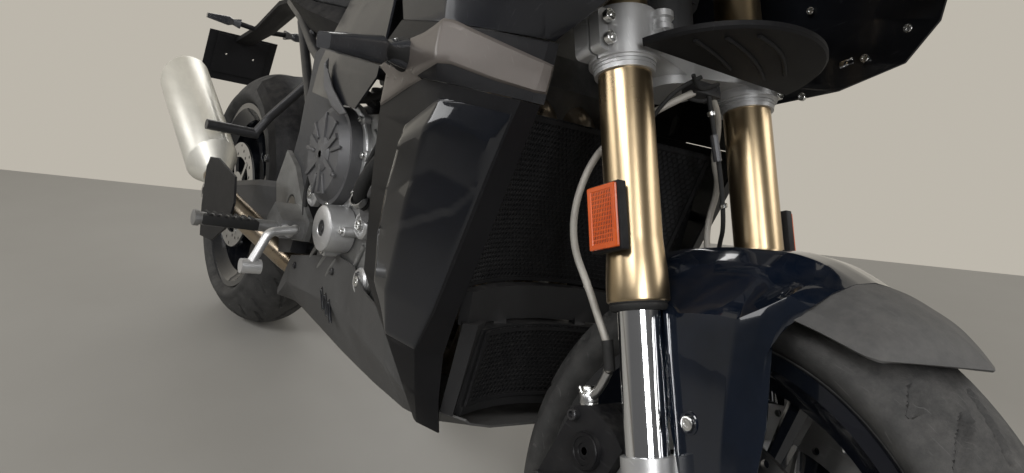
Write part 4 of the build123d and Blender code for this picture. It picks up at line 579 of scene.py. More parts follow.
def node_form(node_name, name, voxel, strength, rounds):
    """A copy of a CAD node with an even remesh, voxel millimetres fine, and its points relaxed."""
    node = frame["nodes"][node_name]
    obj = bpy.data.objects.new(name, node.data.copy())
    bpy.context.scene.collection.objects.link(obj)
    obj.matrix_world = node.matrix_world.copy()
    again = obj.modifiers.new("again", "REMESH")
    again.mode = "VOXEL"
    again.voxel_size = voxel * MM
    relax = obj.modifiers.new("relax", "SMOOTH")
    relax.factor = strength
    relax.iterations = rounds
    return obj


def struck(obj, start, toward):
    """Where a line from a point of the upright machine first meets a piece, and how it faces there."""
    back = obj.matrix_world.inverted()
    origin = back @ (BIKE @ (Vector(start) * MM))
    along = back.to_3x3() @ (BIKE.to_3x3() @ Vector(toward))
    hit, spot, normal, _ = obj.ray_cast(origin, along)
    if not hit:
        return None
    spot = (BIKE.inverted() @ (obj.matrix_world @ spot)) / MM
    return spot, BIKE.to_3x3().inverted() @ (obj.matrix_world.to_3x3() @ normal)


def on_top(obj, x, y):
    """The highest place on a finished piece at a plan point of the upright machine, in millimetres."""
    found = struck(obj, (x, y, 1200), (0, 0, -1))
    return found[0] if found else None


# ---------------------------------------------------------------- side cowl inserts
# Each row of COWL is a height and the four plan points of the cowl's section there, from its front edge
# over two folds to its rear edge. A place along that line is told by s, from 0 at the front to 3.
COWL = ((272, ((356, 142), (361, 144), (370, 145), (402, 130))),
        (320, ((345, 166), (360, 171), (385, 166), (404, 142))),
        (382, ((312, 190), (345, 201), (396, 187), (410, 154))),
        (441, ((262, 207), (350, 216), (428, 192), (436, 166))),
        (555, ((250, 215), (370, 223), (462, 193), (470, 170))),
        (645, ((253, 225), (395, 229), (486, 194), (492, 170))),
        (700, ((259, 228), (408, 231), (503, 194), (508, 172))),
        (701, ((240, 231), (400, 236), (505, 182), (511, 170))),
        (730, ((252, 236), (393, 238), (506, 180), (510, 168))),
        (764, ((262, 224), (386, 235), (508, 180), (512, 170))),
        (800, ((236, 219), (380, 235), (522, 207), (598, 197))))
COWL_ROWS = [(height, *(c for point in line for c in point)) for height, line in COWL]
INSERT_FOOT = 384
INSERT_EDGE = ((INSERT_FOOT, 0.98, 1.98), (400, 0.80, 1.97), (430, 0.52, 1.96), (495, 0.36, 1.95),
               (561, 0.42, 1.95), (618, 0.50, 1.96), (642, 0.55, 1.97), (664, 0.80, 1.97),
               (684, 1.02, 1.97))


def between(rows, value):
    """A row of numbers read off a table by its first column, in straight runs."""
    for low, high in zip(rows, rows[1:]):
        if value <= high[0]:
            share = max(0.0, (value - low[0]) / (high[0] - low[0]))
            return [a + share * (b - a) for a, b in zip(low[1:], high[1:])]
    return list(rows[-1][1:])


def cowl_point(s, z, side, lift):
    """A point on the right or left cowl: s runs along its plan line, lift stands out from it."""
    row = between(COWL_ROWS, z)
    k = min(int(s), 2)
    ax, ay, bx, by = row[2 * k: 2 * k + 4]
    t = s - k
    dx, dy = bx - ax, by - ay
    size = math.hypot(dx, dy)
    x = ax + t * dx - dy / size * lift
    y = ay + t * dy + dx / size * lift
    return Vector((x, side * y, z))


def insert_lift(u, s, z):
    """How far the insert stands out: a lit brow under its top edge, then a flat face in two plates."""
    rim = min(u, 1 - u) * 60
    top = between(((0.4, 626), (0.6, 640), (1.05, 682), (1.25, 688), (2.0, 680)), s)[0]
    brow = between(((0.4, 606), (0.6, 622), (1.2, 664), (1.5, 660), (2.0, 652)), s)[0]
    if z >= brow:
        lift = 1.0 + 6.0 * max(0.0, min(1.0, (top - z) / (top - brow)))
    else:
        lift = 7.0 - 4.4 * min(1.0, (brow - z) / 60)
    seam = between(((0.3, 500), (0.62, 507), (1.70, 567), (1.95, 600)), s)[0]
    if z < seam:
        lift -= 0.9
    return min(lift, 0.2 + rim * 1.6, 0.2 + (z - INSERT_FOOT) * 0.5)


def cowl_insert(side, name):
    """The gloss insert: a skin over the cowl whose rim dips to it all the way round."""
    heights = [INSERT_FOOT + i * 3.75 for i in range(81)]
    shares = [0, 0.012, 0.03] + [0.03 + 0.94 * i / 26 for i in range(1, 27)] + [0.988, 1]
    split = 0.36  # the share of the width that lies in front of the cowl's first fold

    def spot(i, j):
        z, u = heights[j], shares[i]
        s0, s1 = between(INSERT_EDGE, z)
        if s0 >= 1:
            s = s0 + (s1 - s0) * u
        elif u < split:
            s = s0 + (1.0 - s0) * u / split
        else:
            s = 1.0 + (s1 - 1.0) * (u - split) / (1 - split)
        return cowl_point(s, z, side, insert_lift(u, s, z))

    obj = sheet(name, len(shares), len(heights), spot, (0.3, side, 0), 1.2)
    return settle(obj, name, "chassis", "gloss_black", BIKE, 28)


BAND_TOP = ((0, 716), (0.28, 736), (0.7, 752), (1.0, 768), (1.12, 768), (1.35, 761), (1.65, 753), (2, 744),
            (3, 742))
BAND_FOOT = ((0, 655), (0.2, 668), (0.45, 686), (0.8, 708), (1.0, 719), (1.14, 721), (1.3, 718.5),
             (1.6, 714), (2, 711), (3, 712))


def pale_band(side, name):
    """The taupe band: a chevron skin over the joint of cowl and upper fairing, its edges rolled in."""
    stations = [0, 0.02] + [0.05 * k for k in range(1, 20)] + [0.98, 1.0, 1.02, 1.06] + [
        1.06 + 0.047 * k for k in range(1, 20)] + [1.98, 2.02, 2.2, 2.5, 2.8, 2.98, 3.0]
    shares = [0, 0.03, 0.08, 0.2, 0.35, 0.5, 0.65, 0.8, 0.92, 0.97, 1.0]

    def spot(i, j):
        s, u = stations[i], shares[j]
        top, foot = between(BAND_TOP, s)[0], between(BAND_FOOT, s)[0]
        z = foot + (top - foot) * u
        rim = min(u, 1 - u) * (top - foot)
        end = min(s * 120, (3 - s) * 14)
        lift = min(3.4, 0.3 + 1.3 * rim, 0.3 + end)
        return cowl_point(s, z, side, lift)

    obj = sheet(name, len(stations), len(shares), spot, (0.3, side, 0), 1.0)
    return settle(obj, name, "chassis", "taupe_band", BIKE, 28)


# ---------------------------------------------------------------- cooler guards
GUARD_PITCH = 7.1  # from one hole to the next
GUARD_BAR = 1.5  # width of the wire between holes
GUARD_WIRE = 1.6  # thickness of the wire
GUARD_DEPTH = -6.2  # the mesh lies this far behind the cooler's front arc


def hex_sheet(pitch, bar, across, down):
    """A flat sheet of six-sided holes, as one ring repeated and welded to its neighbours; in metres."""
    deselect()
    radius = pitch / math.sqrt(3)
    bpy.ops.mesh.primitive_circle_add(vertices=6, radius=radius, fill_type="NGON")
    obj = bpy.context.active_object
    edit_faces(obj)
    bpy.ops.transform.rotate(value=math.radians(30), orient_axis="Z", center_override=(0, 0, 0))
    bpy.ops.mesh.inset(thickness=bar / 2, depth=0)
    bpy.ops.mesh.delete(type="FACE")
    close_edit()
    for label, count, shift in (("pair", 2, (pitch / 2, 1.5 * radius, 0)),
                                ("across", across, (pitch, 0, 0)), ("down", down, (0, 3 * radius, 0))):
        rows = obj.modifiers.new(label, "ARRAY")
        rows.count = count
        rows.use_relative_offset = False
        rows.use_constant_offset = True
        rows.constant_offset_displace = shift
        rows.use_merge_vertices = True
        rows.merge_threshold = 0.00005
    return apply_modifiers(obj)


def arc_radius(half, sagitta):
    """Radius of an arc whose half width is half and whose middle stands out by the sagitta."""
    return (half * half + sagitta * sagitta) / (2 * sagitta)


def arc_place(u, height, depth, half, sagitta, rows):
    """A point of a guard: u along its plan arc, at a height, stood out by a depth; in millimetres."""
    (z0, x0), (z1, x1) = rows
    radius = arc_radius(half, sagitta)
    theta = u / radius
    edge = x0 + (x1 - x0) * (height - z0) / (z1 - z0)
    x = edge - (radius * math.cos(theta) - (radius - sagitta)) + depth * math.cos(theta)
    return Vector((x, radius * math.sin(theta) - depth * math.sin(theta), height))


def cooler_guard(name, half, sagitta, rows):
    """A hexagon mesh laid on the cooler's arc inside a flat rim; rows are (height, x) of its two edges."""
    radius = arc_radius(half, sagitta)
    reach = radius * math.asin((half - 6) / radius)
    low, high = rows[0][0] + 2, rows[1][0] - 2
    cell = GUARD_PITCH / math.sqrt(3)
    across = int(2 * reach / GUARD_PITCH)
    down = int((high - low) / (3 * cell))
    obj = hex_sheet(GUARD_PITCH * MM, GUARD_BAR * MM, across, down)
    wide, tall = (across - 0.5) * GUARD_PITCH, (down - 0.25) * 3 * cell
    for vertex in obj.data.vertices:
        x, y = vertex.co.x / MM, vertex.co.y / MM
        u = (x - wide / 2 + GUARD_PITCH * 0.25) * 2 * (reach - 2) / wide
        height = low + 1 + (y + cell * 0.5) * (high - low - 2) / tall
        vertex.co = arc_place(u, height, GUARD_DEPTH, half, sagitta, rows) * MM
    wall = obj.modifiers.new("wall", "SOLIDIFY")
    wall.thickness = GUARD_WIRE * MM
    wall.offset = 0
    wide_steps, tall_steps = 24, 8
    outline = [(-reach + 2 * reach * i / wide_steps, low) for i in range(wide_steps + 1)]
    outline += [(reach, low + (high - low) * i / tall_steps) for i in range(1, tall_steps + 1)]
    outline += [(reach - 2 * reach * i / wide_steps, high) for i in range(1, wide_steps + 1)]
    outline += [(-reach, high - (high - low) * i / tall_steps) for i in range(1, tall_steps)]
    corners = ((0, -8), (0, -4.5), (1, -4.5), (1, -8))
    rim_width = 5

    def spot(i, k):
        u, height = outline[i]
        du = -rim_width if u > reach - 1 else (rim_width if u < -reach + 1 else 0)
        dz = rim_width if height < low + 1 else (-rim_width if height > high - 1 else 0)
        inward, depth = corners[k]
        return arc_place(u + du * inward, height + dz * inward, depth, half, sagitta, rows)

    rim = ring(name + "_rim", len(outline), 4, spot)
    settle(obj, name, "chassis", "matt_black_plastic", BIKE, 0)
    settle(rim, name + "_rim", "chassis", "matt_black_plastic", BIKE, 30)
    return obj, rim


def make_guards():
    """The wire guards of the radiator and of the oil cooler under it."""
    made = (cooler_guard("radiator_mesh", 160, 56, ((472, 436), (690, 480)))
            + cooler_guard("oil_cooler_mesh", 112, 26, ((312, 424), (420, 434))))
    for piece in made:
        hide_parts("cooler_guards")


# ---------------------------------------------------------------- tyres
TREAD_ARC = 300  # millimetres along the tread for one radian
TREAD_REPEATS = 13
GROOVE_SLOPE = 1.2  # width of a cut's sloping wall
TYRE_STEPS = 900
BEAD_RADIUS = 223.0


def tyre_section(radius, width, crown, bead_y):
    """Half outline of a tyre from its middle to the bead, as (side, radius) with even spacing."""
    sweep, steps = math.radians(62), 26
    line = [(crown * math.sin(sweep * i / steps), radius - crown + crown * math.cos(sweep * i / steps))
            for i in range(steps + 1)]
    (ay, ar), (cy, cr) = line[-1], (bead_y, BEAD_RADIUS + 11)
    by, br = width / 2, (ar + cr) / 2
    for i in range(1, 11):
        t = i / 10
        y = (1 - t) * (1 - 2 * t) * ay + 4 * t * (1 - t) * by + t * (2 * t - 1) * cy
        r = (1 - t) * (1 - 2 * t) * ar + 4 * t * (1 - t) * br + t * (2 * t - 1) * cr
        line.append((y, r))
    return line + [(bead_y, BEAD_RADIUS), (bead_y - 9, BEAD_RADIUS), (bead_y - 9, BEAD_RADIUS + 20)]


def groove_depth(angle, y, grooves):
    """Depth of the tread at a place: the cuts repeat round the tyre, staggered between its sides."""
    pitch = 2 * math.pi / TREAD_REPEATS
    depth = 0.0
    for side in (-1, 1):
        shift = pitch / 2 if side < 0 else 0.0
        a = (angle + shift) % pitch
        for a0, y0, a1, y1, half, deep in grooves:
            ax, dx, dy = a0 * TREAD_ARC, (a1 - a0) * TREAD_ARC, y1 - y0
            for turn in (a, a - pitch, a + pitch):
                px, py = turn * TREAD_ARC, y * side
                t = max(0.0, min(1.0, ((px - ax) * dx + (py - y0) * dy) / (dx * dx + dy * dy)))
                room = half + GROOVE_SLOPE - math.hypot(px - ax - t * dx, py - y0 - t * dy)
                if room > 0:
                    depth = max(depth, deep * min(1.0, room / GROOVE_SLOPE))
    return depth


def make_tyre(name, node, body, place, radius, width, crown, bead_y, grooves):
    """A tyre as one closed ring with its tread cut in, in its CAD node's place."""
    half = tyre_section(radius, width, crown, bead_y)
    outline = [(-y, r) for y, r in reversed(half)] + half[1:]

    def spot(i, k):
        a = 2 * math.pi * i / TYRE_STEPS
        y, r = outline[k]
        cut = groove_depth(a, y, grooves) if r > radius - crown * 0.62 else 0.0
        return (r - cut) * math.cos(a), y, (r - cut) * math.sin(a)

    obj = ring(name, TYRE_STEPS, len(outline), spot)
    settle(obj, name, body, "tyre_rubber", place, 40)
    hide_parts(node)


def make_tyres():
    """Both tyres. Each cut is (angle, y, angle, y, half its width, depth), in radians and millimetres."""
    front = [(0.394, 50.5, 0.451, 41.6, 2.8, 5.0), (0.270, 41.7, 0.326, 29.4, 3.2, 5.5),
             (0.222, 48.7, 0.270, 41.7, 2.6, 5.0), (0.200, 19.0, 0.383, 7.0, 2.2, 4.5)]
    rear = [(0.00, 9, 0.17, 20, 2.6, 5.0), (0.17, 20, 0.28, 46, 2.6, 5.0), (0.33, 30, 0.43, 66, 2.2, 4.0),
            (0.10, 52, 0.19, 74, 2.0, 3.4)]
    make_tyre("front_tread_tyre", "front_tyre", "front_wheel", FORK,
              FRONT_RADIUS, 120, FRONT_CROWN, 44.5, front)
    make_tyre("rear_tread_tyre", "rear_tyre", "rear_wheel", REAR,
              REAR_RADIUS, 190, REAR_CROWN, 76, rear)


# ---------------------------------------------------------------- fork, brake and mudguard details
FORK_Y = 104  # from the middle to each leg
CLAMP_Z = 508  # foot of the lower yoke's clamps, up the fork from the axle
UPPER_CLAMP_Z = 728
REFLECTOR_Z = 344
CALIPER_ANGLE = 137  # degrees about the axle, from straight ahead of the fork


def on_fork_side(s, out):
    """The reflector's place on the outer side of a fork leg, out from the middle, with Z to the side."""
    return (FORK @ Matrix.Translation(Vector((-4, s * out, REFLECTOR_Z)) * MM)
            @ Matrix.Rotation(-s * math.pi / 2, 4, "X"))


def fork_hardware():
    """Pinch bolts in the clamp lugs, lock fittings on the lower yoke, and reflectors in their cases."""
    lug_x, lug_y = 13.2, FORK_Y + 39
    lower = [(lug_x, s * lug_y, CLAMP_Z + up) for s, _ in SIDES for up in (14, 37)]
    upper = [(lug_x, s * lug_y, UPPER_CLAMP_Z + 15) for s, _ in SIDES]
    bolts("clamp_bolts", FORK, lower + upper, (1, 0, 0), 6.6, 5.5, "steering", "bright_bolt")
    for s, word in SIDES:
        fitting = turned("lock_fitting", [(0, 0), (8.4, 0), (8.4, 9), (11.5, 11), (11.5, 17), (9.8, 18.5),
                                          (9.8, 23), (12.4, 24.5), (12.4, 31), (7, 34), (0, 34)], 32)
        place = frame_at(FORK, (33, s * (FORK_Y - 18), CLAMP_Z + 16), (0, 0, 1))
        settle(fitting, "lock_fitting_" + word, "steering", "silver_casting", place, 30)
    for s, word in SIDES:
        lens = apply_modifiers(slab("lens", (0.0372, 0.0622, 0.0048), 0.0012))
        edit_faces(lens, lambda face: face.normal.z > 0.99 and face.area > 0.001)
        bpy.ops.mesh.inset(thickness=0.0035, depth=0)
        bpy.ops.mesh.inset(thickness=0.0006, depth=-0.0007)
        bpy.ops.mesh.subdivide(number_cuts=11)
        bpy.ops.mesh.inset(thickness=0.0008, depth=-0.00035, use_individual=True)
        close_edit()
        settle(lens, "reflector_lens_" + word, "steering", "amber_lens", on_fork_side(s, 147.2), 20)
        case = slab("case", (0.041, 0.067, 0.011), 0.0015)
        settle(case, "reflector_case_" + word, "steering", "matt_black_plastic", on_fork_side(s, 139.6), 30)


def around_axle(t, r):
    """A fork-frame (x, z) point at radius r, moved t along the disc's edge from the caliper."""
    a = math.radians(CALIPER_ANGLE)
    return r * math.cos(a) - t * math.sin(a), r * math.sin(a) + t * math.cos(a)


def caliper_hardware():
    """Mounting bolts, piston caps, a bleed screw and a banjo bolt on each front caliper."""
    for s, word in SIDES:
        spots = [(x, s * 109, z) for x, z in (around_axle(-46, 178), around_axle(46, 178))]
        bolts("caliper_bolts_" + word, FORK, spots, (0, s, 0), 6.5, 6, "steering", "dark_bolt")
        pistons = [frame_at(FORK, (x, s * 112.4, z), (0, s, 0))
                   for x, z in (around_axle(-30.2, 142), around_axle(30.2, 142))]
        cap = turned("piston_cap", [(0, 0.4), (8, 0.4), (8.5, 1.4), (14, 1.4), (14.6, 2.4), (18.6, 2.4),
                                    (19.4, 1.4), (19.4, -1)], 40)
        scatter(cap, "piston_caps_" + word, pistons, "steering", "satin_black_panel")
        x, z = around_axle(-56, 188)
        bleed = turned("bleed", [(0, 0), (5, 0), (5, 5), (3.4, 6), (3.4, 13), (2.4, 14), (2.4, 18),
                                 (0, 18)], 20)
        place = frame_at(FORK, (x, s * 92, z - 3), (-0.5, 0, 1))
        scatter(bleed, "bleed_screw_" + word, [place], "steering", "bright_bolt")
        banjo = turned("banjo", [(0, 0), (9.8, 0), (9.8, 2), (7.6, 2.4), (7.6, 8.6), (9.6, 9), (9.6, 12),
                                 (7, 12.5), (7, 18), (6, 19.5), (0, 19.5)], 24)
        place = frame_at(FORK, (-88, s * 98, 164.2), (0, 0, 1))
        scatter(banjo, "banjo_bolt_" + word, [place], "steering", "bright_bolt")


def disc_hardware():
    """Bobbins between each floating rotor and its carrier, and the carrier's bolts."""
    button = turned("bobbin", [(0, 0.6), (3.2, 0.6), (3.6, 1.2), (6.4, 1.2), (7, 0.6), (7, -1.2)], 24)
    places = [frame_at(FORK, (x, s * 70.6, s * z), (0, s, 0))
              for s, _ in SIDES for x, z in on_circle(0, 0, 122, range(0, 360, 36))]
    scatter(button, "front_bobbins", places, "front_wheel", "bright_bolt")
    for s, word in SIDES:
        spots = [(x, s * 70.6, z) for x, z in on_circle(0, 0, 51, range(18, 378, 72))]
        bolts("disc_bolts_" + word, FORK, spots, (0, s, 0), 6, 4, "front_wheel", "dark_bolt")


cowl_insert(-1, "cowl_insert_right")
cowl_insert(1, "cowl_insert_left")
make_guards()
make_tyres()
fork_hardware()
caliper_hardware()
disc_hardware()


def smooth_between(a, b, c, d, t):
    """A point between b and c on the smooth line through four points."""
    return [0.5 * (2 * q + (r - p) * t + (2 * p - 5 * q + 4 * r - s) * t * t
                   + (3 * q - p - 3 * r + s) * t ** 3) for p, q, r, s in zip(a, b, c, d)]


def folded(name, table, along, across, outward, wall, hard=()):
    """A sheet that flows smoothly along its stations and folds at its lines; hard lines run straight."""
    count, lines = len(table), len(table[0])

    def spot(i, j):
        k, t = divmod(i, along)
        if k == count - 1:
            k, t = count - 2, along
        q, u = divmod(j, across)
        if q == lines - 1:
            q, u = lines - 2, across
        ends = []
        for line in (q, q + 1):
            near = [table[min(max(k + step, 0), count - 1)][line] for step in (-1, 0, 1, 2)]
            if line in hard:
                ends.append([a + (b - a) * t / along for a, b in zip(near[1], near[2])])
            else:
                ends.append(smooth_between(*near, t / along))
        return [a + (b - a) * u / across for a, b in zip(*ends)]

    return sheet(name, (count - 1) * along + 1, (lines - 1) * across + 1, spot, outward, wall)


def polar(angle, y, r):
    """A fork-frame point at an angle and radius about the front axle."""
    return r * math.cos(math.radians(angle)), y, r * math.sin(math.radians(angle))


def both_halves(table):
    """Stations of a right half, from the middle out, opened to both halves."""
    return [[(x, -y, z) for x, y, z in reversed(row[1:])] + list(row) for row in table]


def rounded(obj, width):
    """Round a sheet's folds and rims, by a width in millimetres."""
    edge = obj.modifiers.new("round", "BEVEL")
    edge.width = width * MM
    edge.segments = 2
    edge.limit_method = "ANGLE"
    edge.angle_limit = math.radians(24)
    return obj


def make_fender():
    """The gloss mudguard with a crease over each wing, the matt visor out of its front, and its bolts."""
    def crown(angle, *pairs):
        return [polar(angle, -y, r) for y, r in pairs]

    table = [
        crown(98, (0, 326), (30, 324), (52, 314), (62, 300), (66, 286), (67, 284), (67, 282)),
        crown(92, (0, 324), (30, 322), (55, 311), (72, 288), (82, 268), (84, 262), (84, 258)),
        crown(87, (0, 322.5), (30, 320), (60, 301)) + [(17, -94, 251), (21, -95, 200), (23, -95, 145),
                                                       (24, -95, 100)],
        crown(80, (0, 321.5), (30, 319.5), (60, 301)) + [(50, -94.6, 249), (46, -96, 196), (40, -96, 130),
                                                         (34, -95, 64)],
        crown(73, (0, 322.5), (30, 320.5), (60, 302)) + [(81, -95.2, 245), (72, -97.4, 190),
                                                         (61, -97.6, 124), (52, -96, 62)],
        crown(68.3, (0, 325), (30, 322.5), (60, 304)) + [(101, -96, 240), (88, -98.6, 186),
                                                         (73, -98.8, 122), (64, -97, 66)],
        crown(64, (0, 325), (30, 322.5), (60, 305)) + [(127, -92.5, 248), (108, -95.4, 194),
                                                       (91, -95.8, 126), (78, -95, 74)],
        crown(60.5, (0, 323), (30, 320.5), (60, 308)) + [(149, -88.5, 256), (120, -91.5, 200),
                                                         (105, -92.8, 132), (90, -93, 84)],
        crown(56.6, (0, 320.5), (30, 317.5), (58, 308.5), (80, 294)) + [(128, -87, 221), (116, -90, 148),
                                                                      (100, -91, 98)]]
    straight = (0, 1, 2, 3, 9, 10, 11, 12)
    guard = rounded(folded("mudguard", both_halves(table), 7, 4, (0, 0, 1), 2.6, straight), 1.4)
    settle(guard, "mudguard", "steering", "gloss_blue_black", FORK, 22)
    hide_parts("front_fender")
    lip = (((60.5, 0, 317.5), (60.5, 30, 315), (60, 60, 303), (60, 78, 288), (60, 83, 277)),
           ((54, 0, 321.5), (54, 30, 319), (54, 59, 308), (54, 79, 293), (54, 86, 281)),
           ((49, 0, 322.5), (49, 30, 320), (49, 59, 309.5), (49, 79, 295), (49, 86, 285)),
           ((45, 0, 323.5), (45, 30, 320.5), (45, 58, 310.5), (45.2, 77, 298), (45.4, 85, 289)),
           ((40.5, 0, 323.5), (41, 27, 319), (42, 52, 310), (43, 72, 299), (43.6, 83, 293)),
           ((36.3, 0, 322.5), (37.4, 20, 318), (39.4, 44, 309), (41.8, 68, 299), (43.0, 81, 294.5)))
    table = [[polar(angle, -y, r) for angle, y, r in row] for row in lip]
    visor = rounded(folded("mudguard_visor", both_halves(table), 6, 4, (0.6, 0, 0.6), 2.4), 1.2)
    settle(visor, "mudguard_visor", "steering", "extension_grey", FORK, 22)
    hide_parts("fender_extension")
    well = turned("well", [(7.5, -3), (11, -3), (11, 0.8), (10, 1.4), (8.6, 1.2), (7.6, 0.2)], 32)
    places = [frame_at(FORK, (40, s * 96.4, 150), (0, s, 0)) for s, _ in SIDES]
    scatter(well, "mudguard_bolt_wells", places, "steering", "gloss_blue_black")
    for s, word in SIDES:
        bolts("mudguard_bolt_" + word, FORK, [(40, s * 96.8, 150)], (0, s, 0), 6.8, 3.2, "steering",
              "bright_bolt")


def make_fork_tubes():
    """Round fork tubes with flared feet, wipers, and hex caps, in place of the plain nodes."""
    foot, top = 263, 789
    outer = [(0, 300), (21.9, 300), (21.9, foot), (29.2, foot), (30.6, 264.4), (30.9, 267), (30.8, 280),
             (30.2, 293), (29.2, 306), (28.1, 318), (27.7, 326), (27.7, 400), (27.7, 500), (27.7, 700),
             (27.7, 787.5), (26.6, top + 1), (19.5, top + 1), (18.8, top), (12, top), (0, top)]
    at = [FORK @ Matrix.Translation(Vector((-5, s * FORK_Y, 0)) * MM) for s, _ in SIDES]
    tubes = scatter(turned("outer", outer, 96), "fork_gold_tubes", at, "steering", "gold_anodised_tube", 30)
    nut = turned("cap", [(0, top), (17, top), (17, 797.5), (15.5, 799), (8, 799), (7, 796), (0, 796)], 6)
    caps = scatter(nut, "fork_caps", at, "steering", "gold_anodised_tube", 20)
    wiper = turned("wiper", [(21.9, 263.2), (21.9, 255), (26.6, 255), (27.6, 256), (28.7, 258.6),
                             (28.7, 260), (28.0, 260.6), (28.0, 261.4), (28.9, 262), (28.9, 263.2)], 72)
    wipers = scatter(wiper, "fork_wipers", at, "steering", "black_rubber", 30)
    inner = turned("inner", [(0, 60), (20.8, 60), (21.5, 61), (21.5, 150), (21.5, 250), (21.5, 370),
                             (0, 370)], 96)
    sliders = scatter(inner, "fork_chrome_tubes", at, "steering", "bright_tube", 30)
    for piece, node in ((tubes, "fork_outer_tubes"), (caps, "fork_outer_tubes"),
                        (wipers, "fork_dust_seals"), (sliders, "fork_inner_tubes")):
        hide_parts(node)


def make_hoses():
    """Braided brake hoses with crimped ends, the sensor cable with its plug and clips, and yoke wiring.
    Each hose is drawn for the right leg, where y is negative, and mirrored for the left."""
    y = FORK_Y
    made = []
    for s, word in ((1, "right"), (-1, "left")):
        route = [(-82, -y + 5, 174), (-70, -y + 3, 181), (-52, -y, 196), (-47, -y - 2, 222),
                 (-55, -y - 6, 250), (-66, -y - 8, 285), (-86, -y - 9, 330), (-82, -y - 8, 375),
                 (-56, -y - 5, 418), (-44, -y + 20, 446), (-14, -58, 468), (6, -32, 484), (12, -16, 492)]
        hose = tube("hose", [(x, s * q, z) for x, q, z in route], 4.0)
        made.append(settle(hose, "brake_hose_" + word, "steering", "braided_hose", FORK, 40))
        end = ((-48.5, -y - 1, 199), (-47.3, -y - 2, 214), (-47.6, -y - 3, 229))
        crimp = tube("crimp", [(x, s * q, z) for x, q, z in end], 5.9)
        made.append(settle(crimp, "hose_crimp_" + word, "steering", "black_rubber", FORK, 40))
        bend = ((-88, -y + 6, 171), (-80, -y + 5, 173), (-66, -y + 2, 182), (-51, -y, 198))
        neck = tube("neck", [(x, s * q, z) for x, q, z in bend], 4.9)
        made.append(settle(neck, "hose_neck_" + word, "steering", "machined_steel", FORK, 40))
        eye = turned("eye", [(5, -5.5), (9.3, -5.5), (9.8, -4.6), (9.8, 4.6), (9.3, 5.5), (5, 5.5)], 32)
        place = frame_at(FORK, (-88, s * (-y + 6), 170.6), (0, 0, 1))
        made.append(scatter(eye, "hose_eye_" + word, [place], "steering", "machined_steel"))
    block = slab("hose_joint", (0.022, 0.040, 0.014), 0.002, (0.003, 0.0015))
    place = FORK @ Matrix.Translation(Vector((10, 0, 497)) * MM)
    made.append(settle(block, "hose_joint", "steering", "dark_metal", place))
    cable = tube("cable", [(18, 2, 489.7), (18, 5, 462), (16, 12, 425), (12, 20, 396), (2, 32, 350),
                           (-22, 54, 336), (-48, 78, 312), (-50, y + 4, 262), (-46, y + 10, 236),
                           (-40, y + 14, 170), (-37, y + 14, 112)], 2.6)
    made.append(settle(cable, "sensor_cable", "steering", "black_rubber", FORK, 40))
    for piece in made:
        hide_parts("brake_hoses")
    plug = tube("plug", [(17.6, 6, 446), (17.2, 8, 432), (16, 11.5, 418)], 4.6)
    settle(plug, "sensor_plug", "steering", "dark_metal", FORK, 30)
    clip = turned("clip", [(2.4, -2), (4.2, -2), (4.4, 0), (4.2, 2), (2.4, 2)], 20)
    places = [frame_at(FORK, (18, 4, 470), (0, 0.1, -1)), frame_at(FORK, (8, 26, 372), (-0.3, 0.35, -1)),
              frame_at(FORK, (-45, y + 11, 222), (0.1, 0.1, -1))]
    scatter(clip, "cable_clips", places, "steering", "bright_bolt")
    loom = [tube("loom", points, 2.3) for points in (
        [(30, -24, 502), (18, -44, 492), (0, -60, 470), (-14, -66, 452)],
        [(26, 10, 503), (22, -8, 494), (24, -26, 492), (32, -40, 500)],
        [(20, 14, 500), (16, 4, 486), (10, -8, 484), (2, -20, 490)])]
    settle(joined(loom), "yoke_wiring", "steering", "black_rubber", FORK, 40)


def make_splash_guard():
    """A thin half-round tray under the lower yoke, with a low rim and slanted ribs."""
    centre, radius, cut = 16.7, 124.0, 22.0
    start = math.acos(cut / radius)
    floor = 511

    def spot(i, j):
        a = -start + 2 * start * i / 56
        edge, y = radius * math.cos(a), radius * math.sin(a)
        if j <= 8:
            return centre + min(cut + (edge - cut) * j / 8, edge - 1.5), y * 0.988, floor
        return centre + edge, y, floor + (1.4 if j == 9 else 5.5)

    tray = sheet("tray", 57, 11, spot, (0, 0, 1), 1.8)
    settle(tray, "splash_tray", "steering", "matt_black_plastic", FORK, 35)
    ribs = []
    for offset, low, high in ((16, -98, 92), (48, -74, 84), (80, -50, 66)):
        points = []
        for k in range(7):
            t = low + (high - low) * k / 6
            bow = 9 * math.sin(math.pi * k / 6)
            points.append((centre + cut - 12 + offset * 0.9 - 0.36 * t + bow, 0.93 * t, floor - 2.6))
        inside = [p for p in points if math.hypot(p[0] - centre, p[1]) < radius - 5 and p[0] > 41]
        ribs.append(tube("rib", inside, 2.4))
    lines = settle(joined(ribs), "splash_ribs", "steering", "matt_black_plastic", FORK, 40)
    for piece in (tray, lines):
        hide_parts("splash_guard")


def make_signals():
    """Rubber boots over the turn signals' stalks."""
    boot = turned("boot", [(0, -6), (20, -6), (20.5, -2), (18, 4), (14, 14), (11.6, 24), (11.4, 30),
                           (13.5, 38), (13.8, 41), (0, 41)], 32)
    places = [frame_at(BIKE, (314, s * 240, 722), (42, s * 109, -8)) for s, _ in SIDES]
    scatter(boot, "signal_boots", places, "chassis", "black_rubber")


make_fender()
make_fork_tubes()
make_hoses()
make_splash_guard()
make_signals()
for side, word in SIDES:
    pale_band(side, "taupe_band_" + word)


# ---------------------------------------------------------------- engine and footrests
FLANK_Y = -147.6  # the engine's right wall
CLUTCH_X, CLUTCH_Z = 6, 552
CLUTCH_FACE_Y = -189
STARTER_X, STARTER_Z = 60, 445
STARTER_FACE_Y = -188


def flank_place(x, y, z):
    """A place on the engine's right side, with Z out of it."""
    return frame_at(BIKE, (x, y, z), (0, -1, 0))


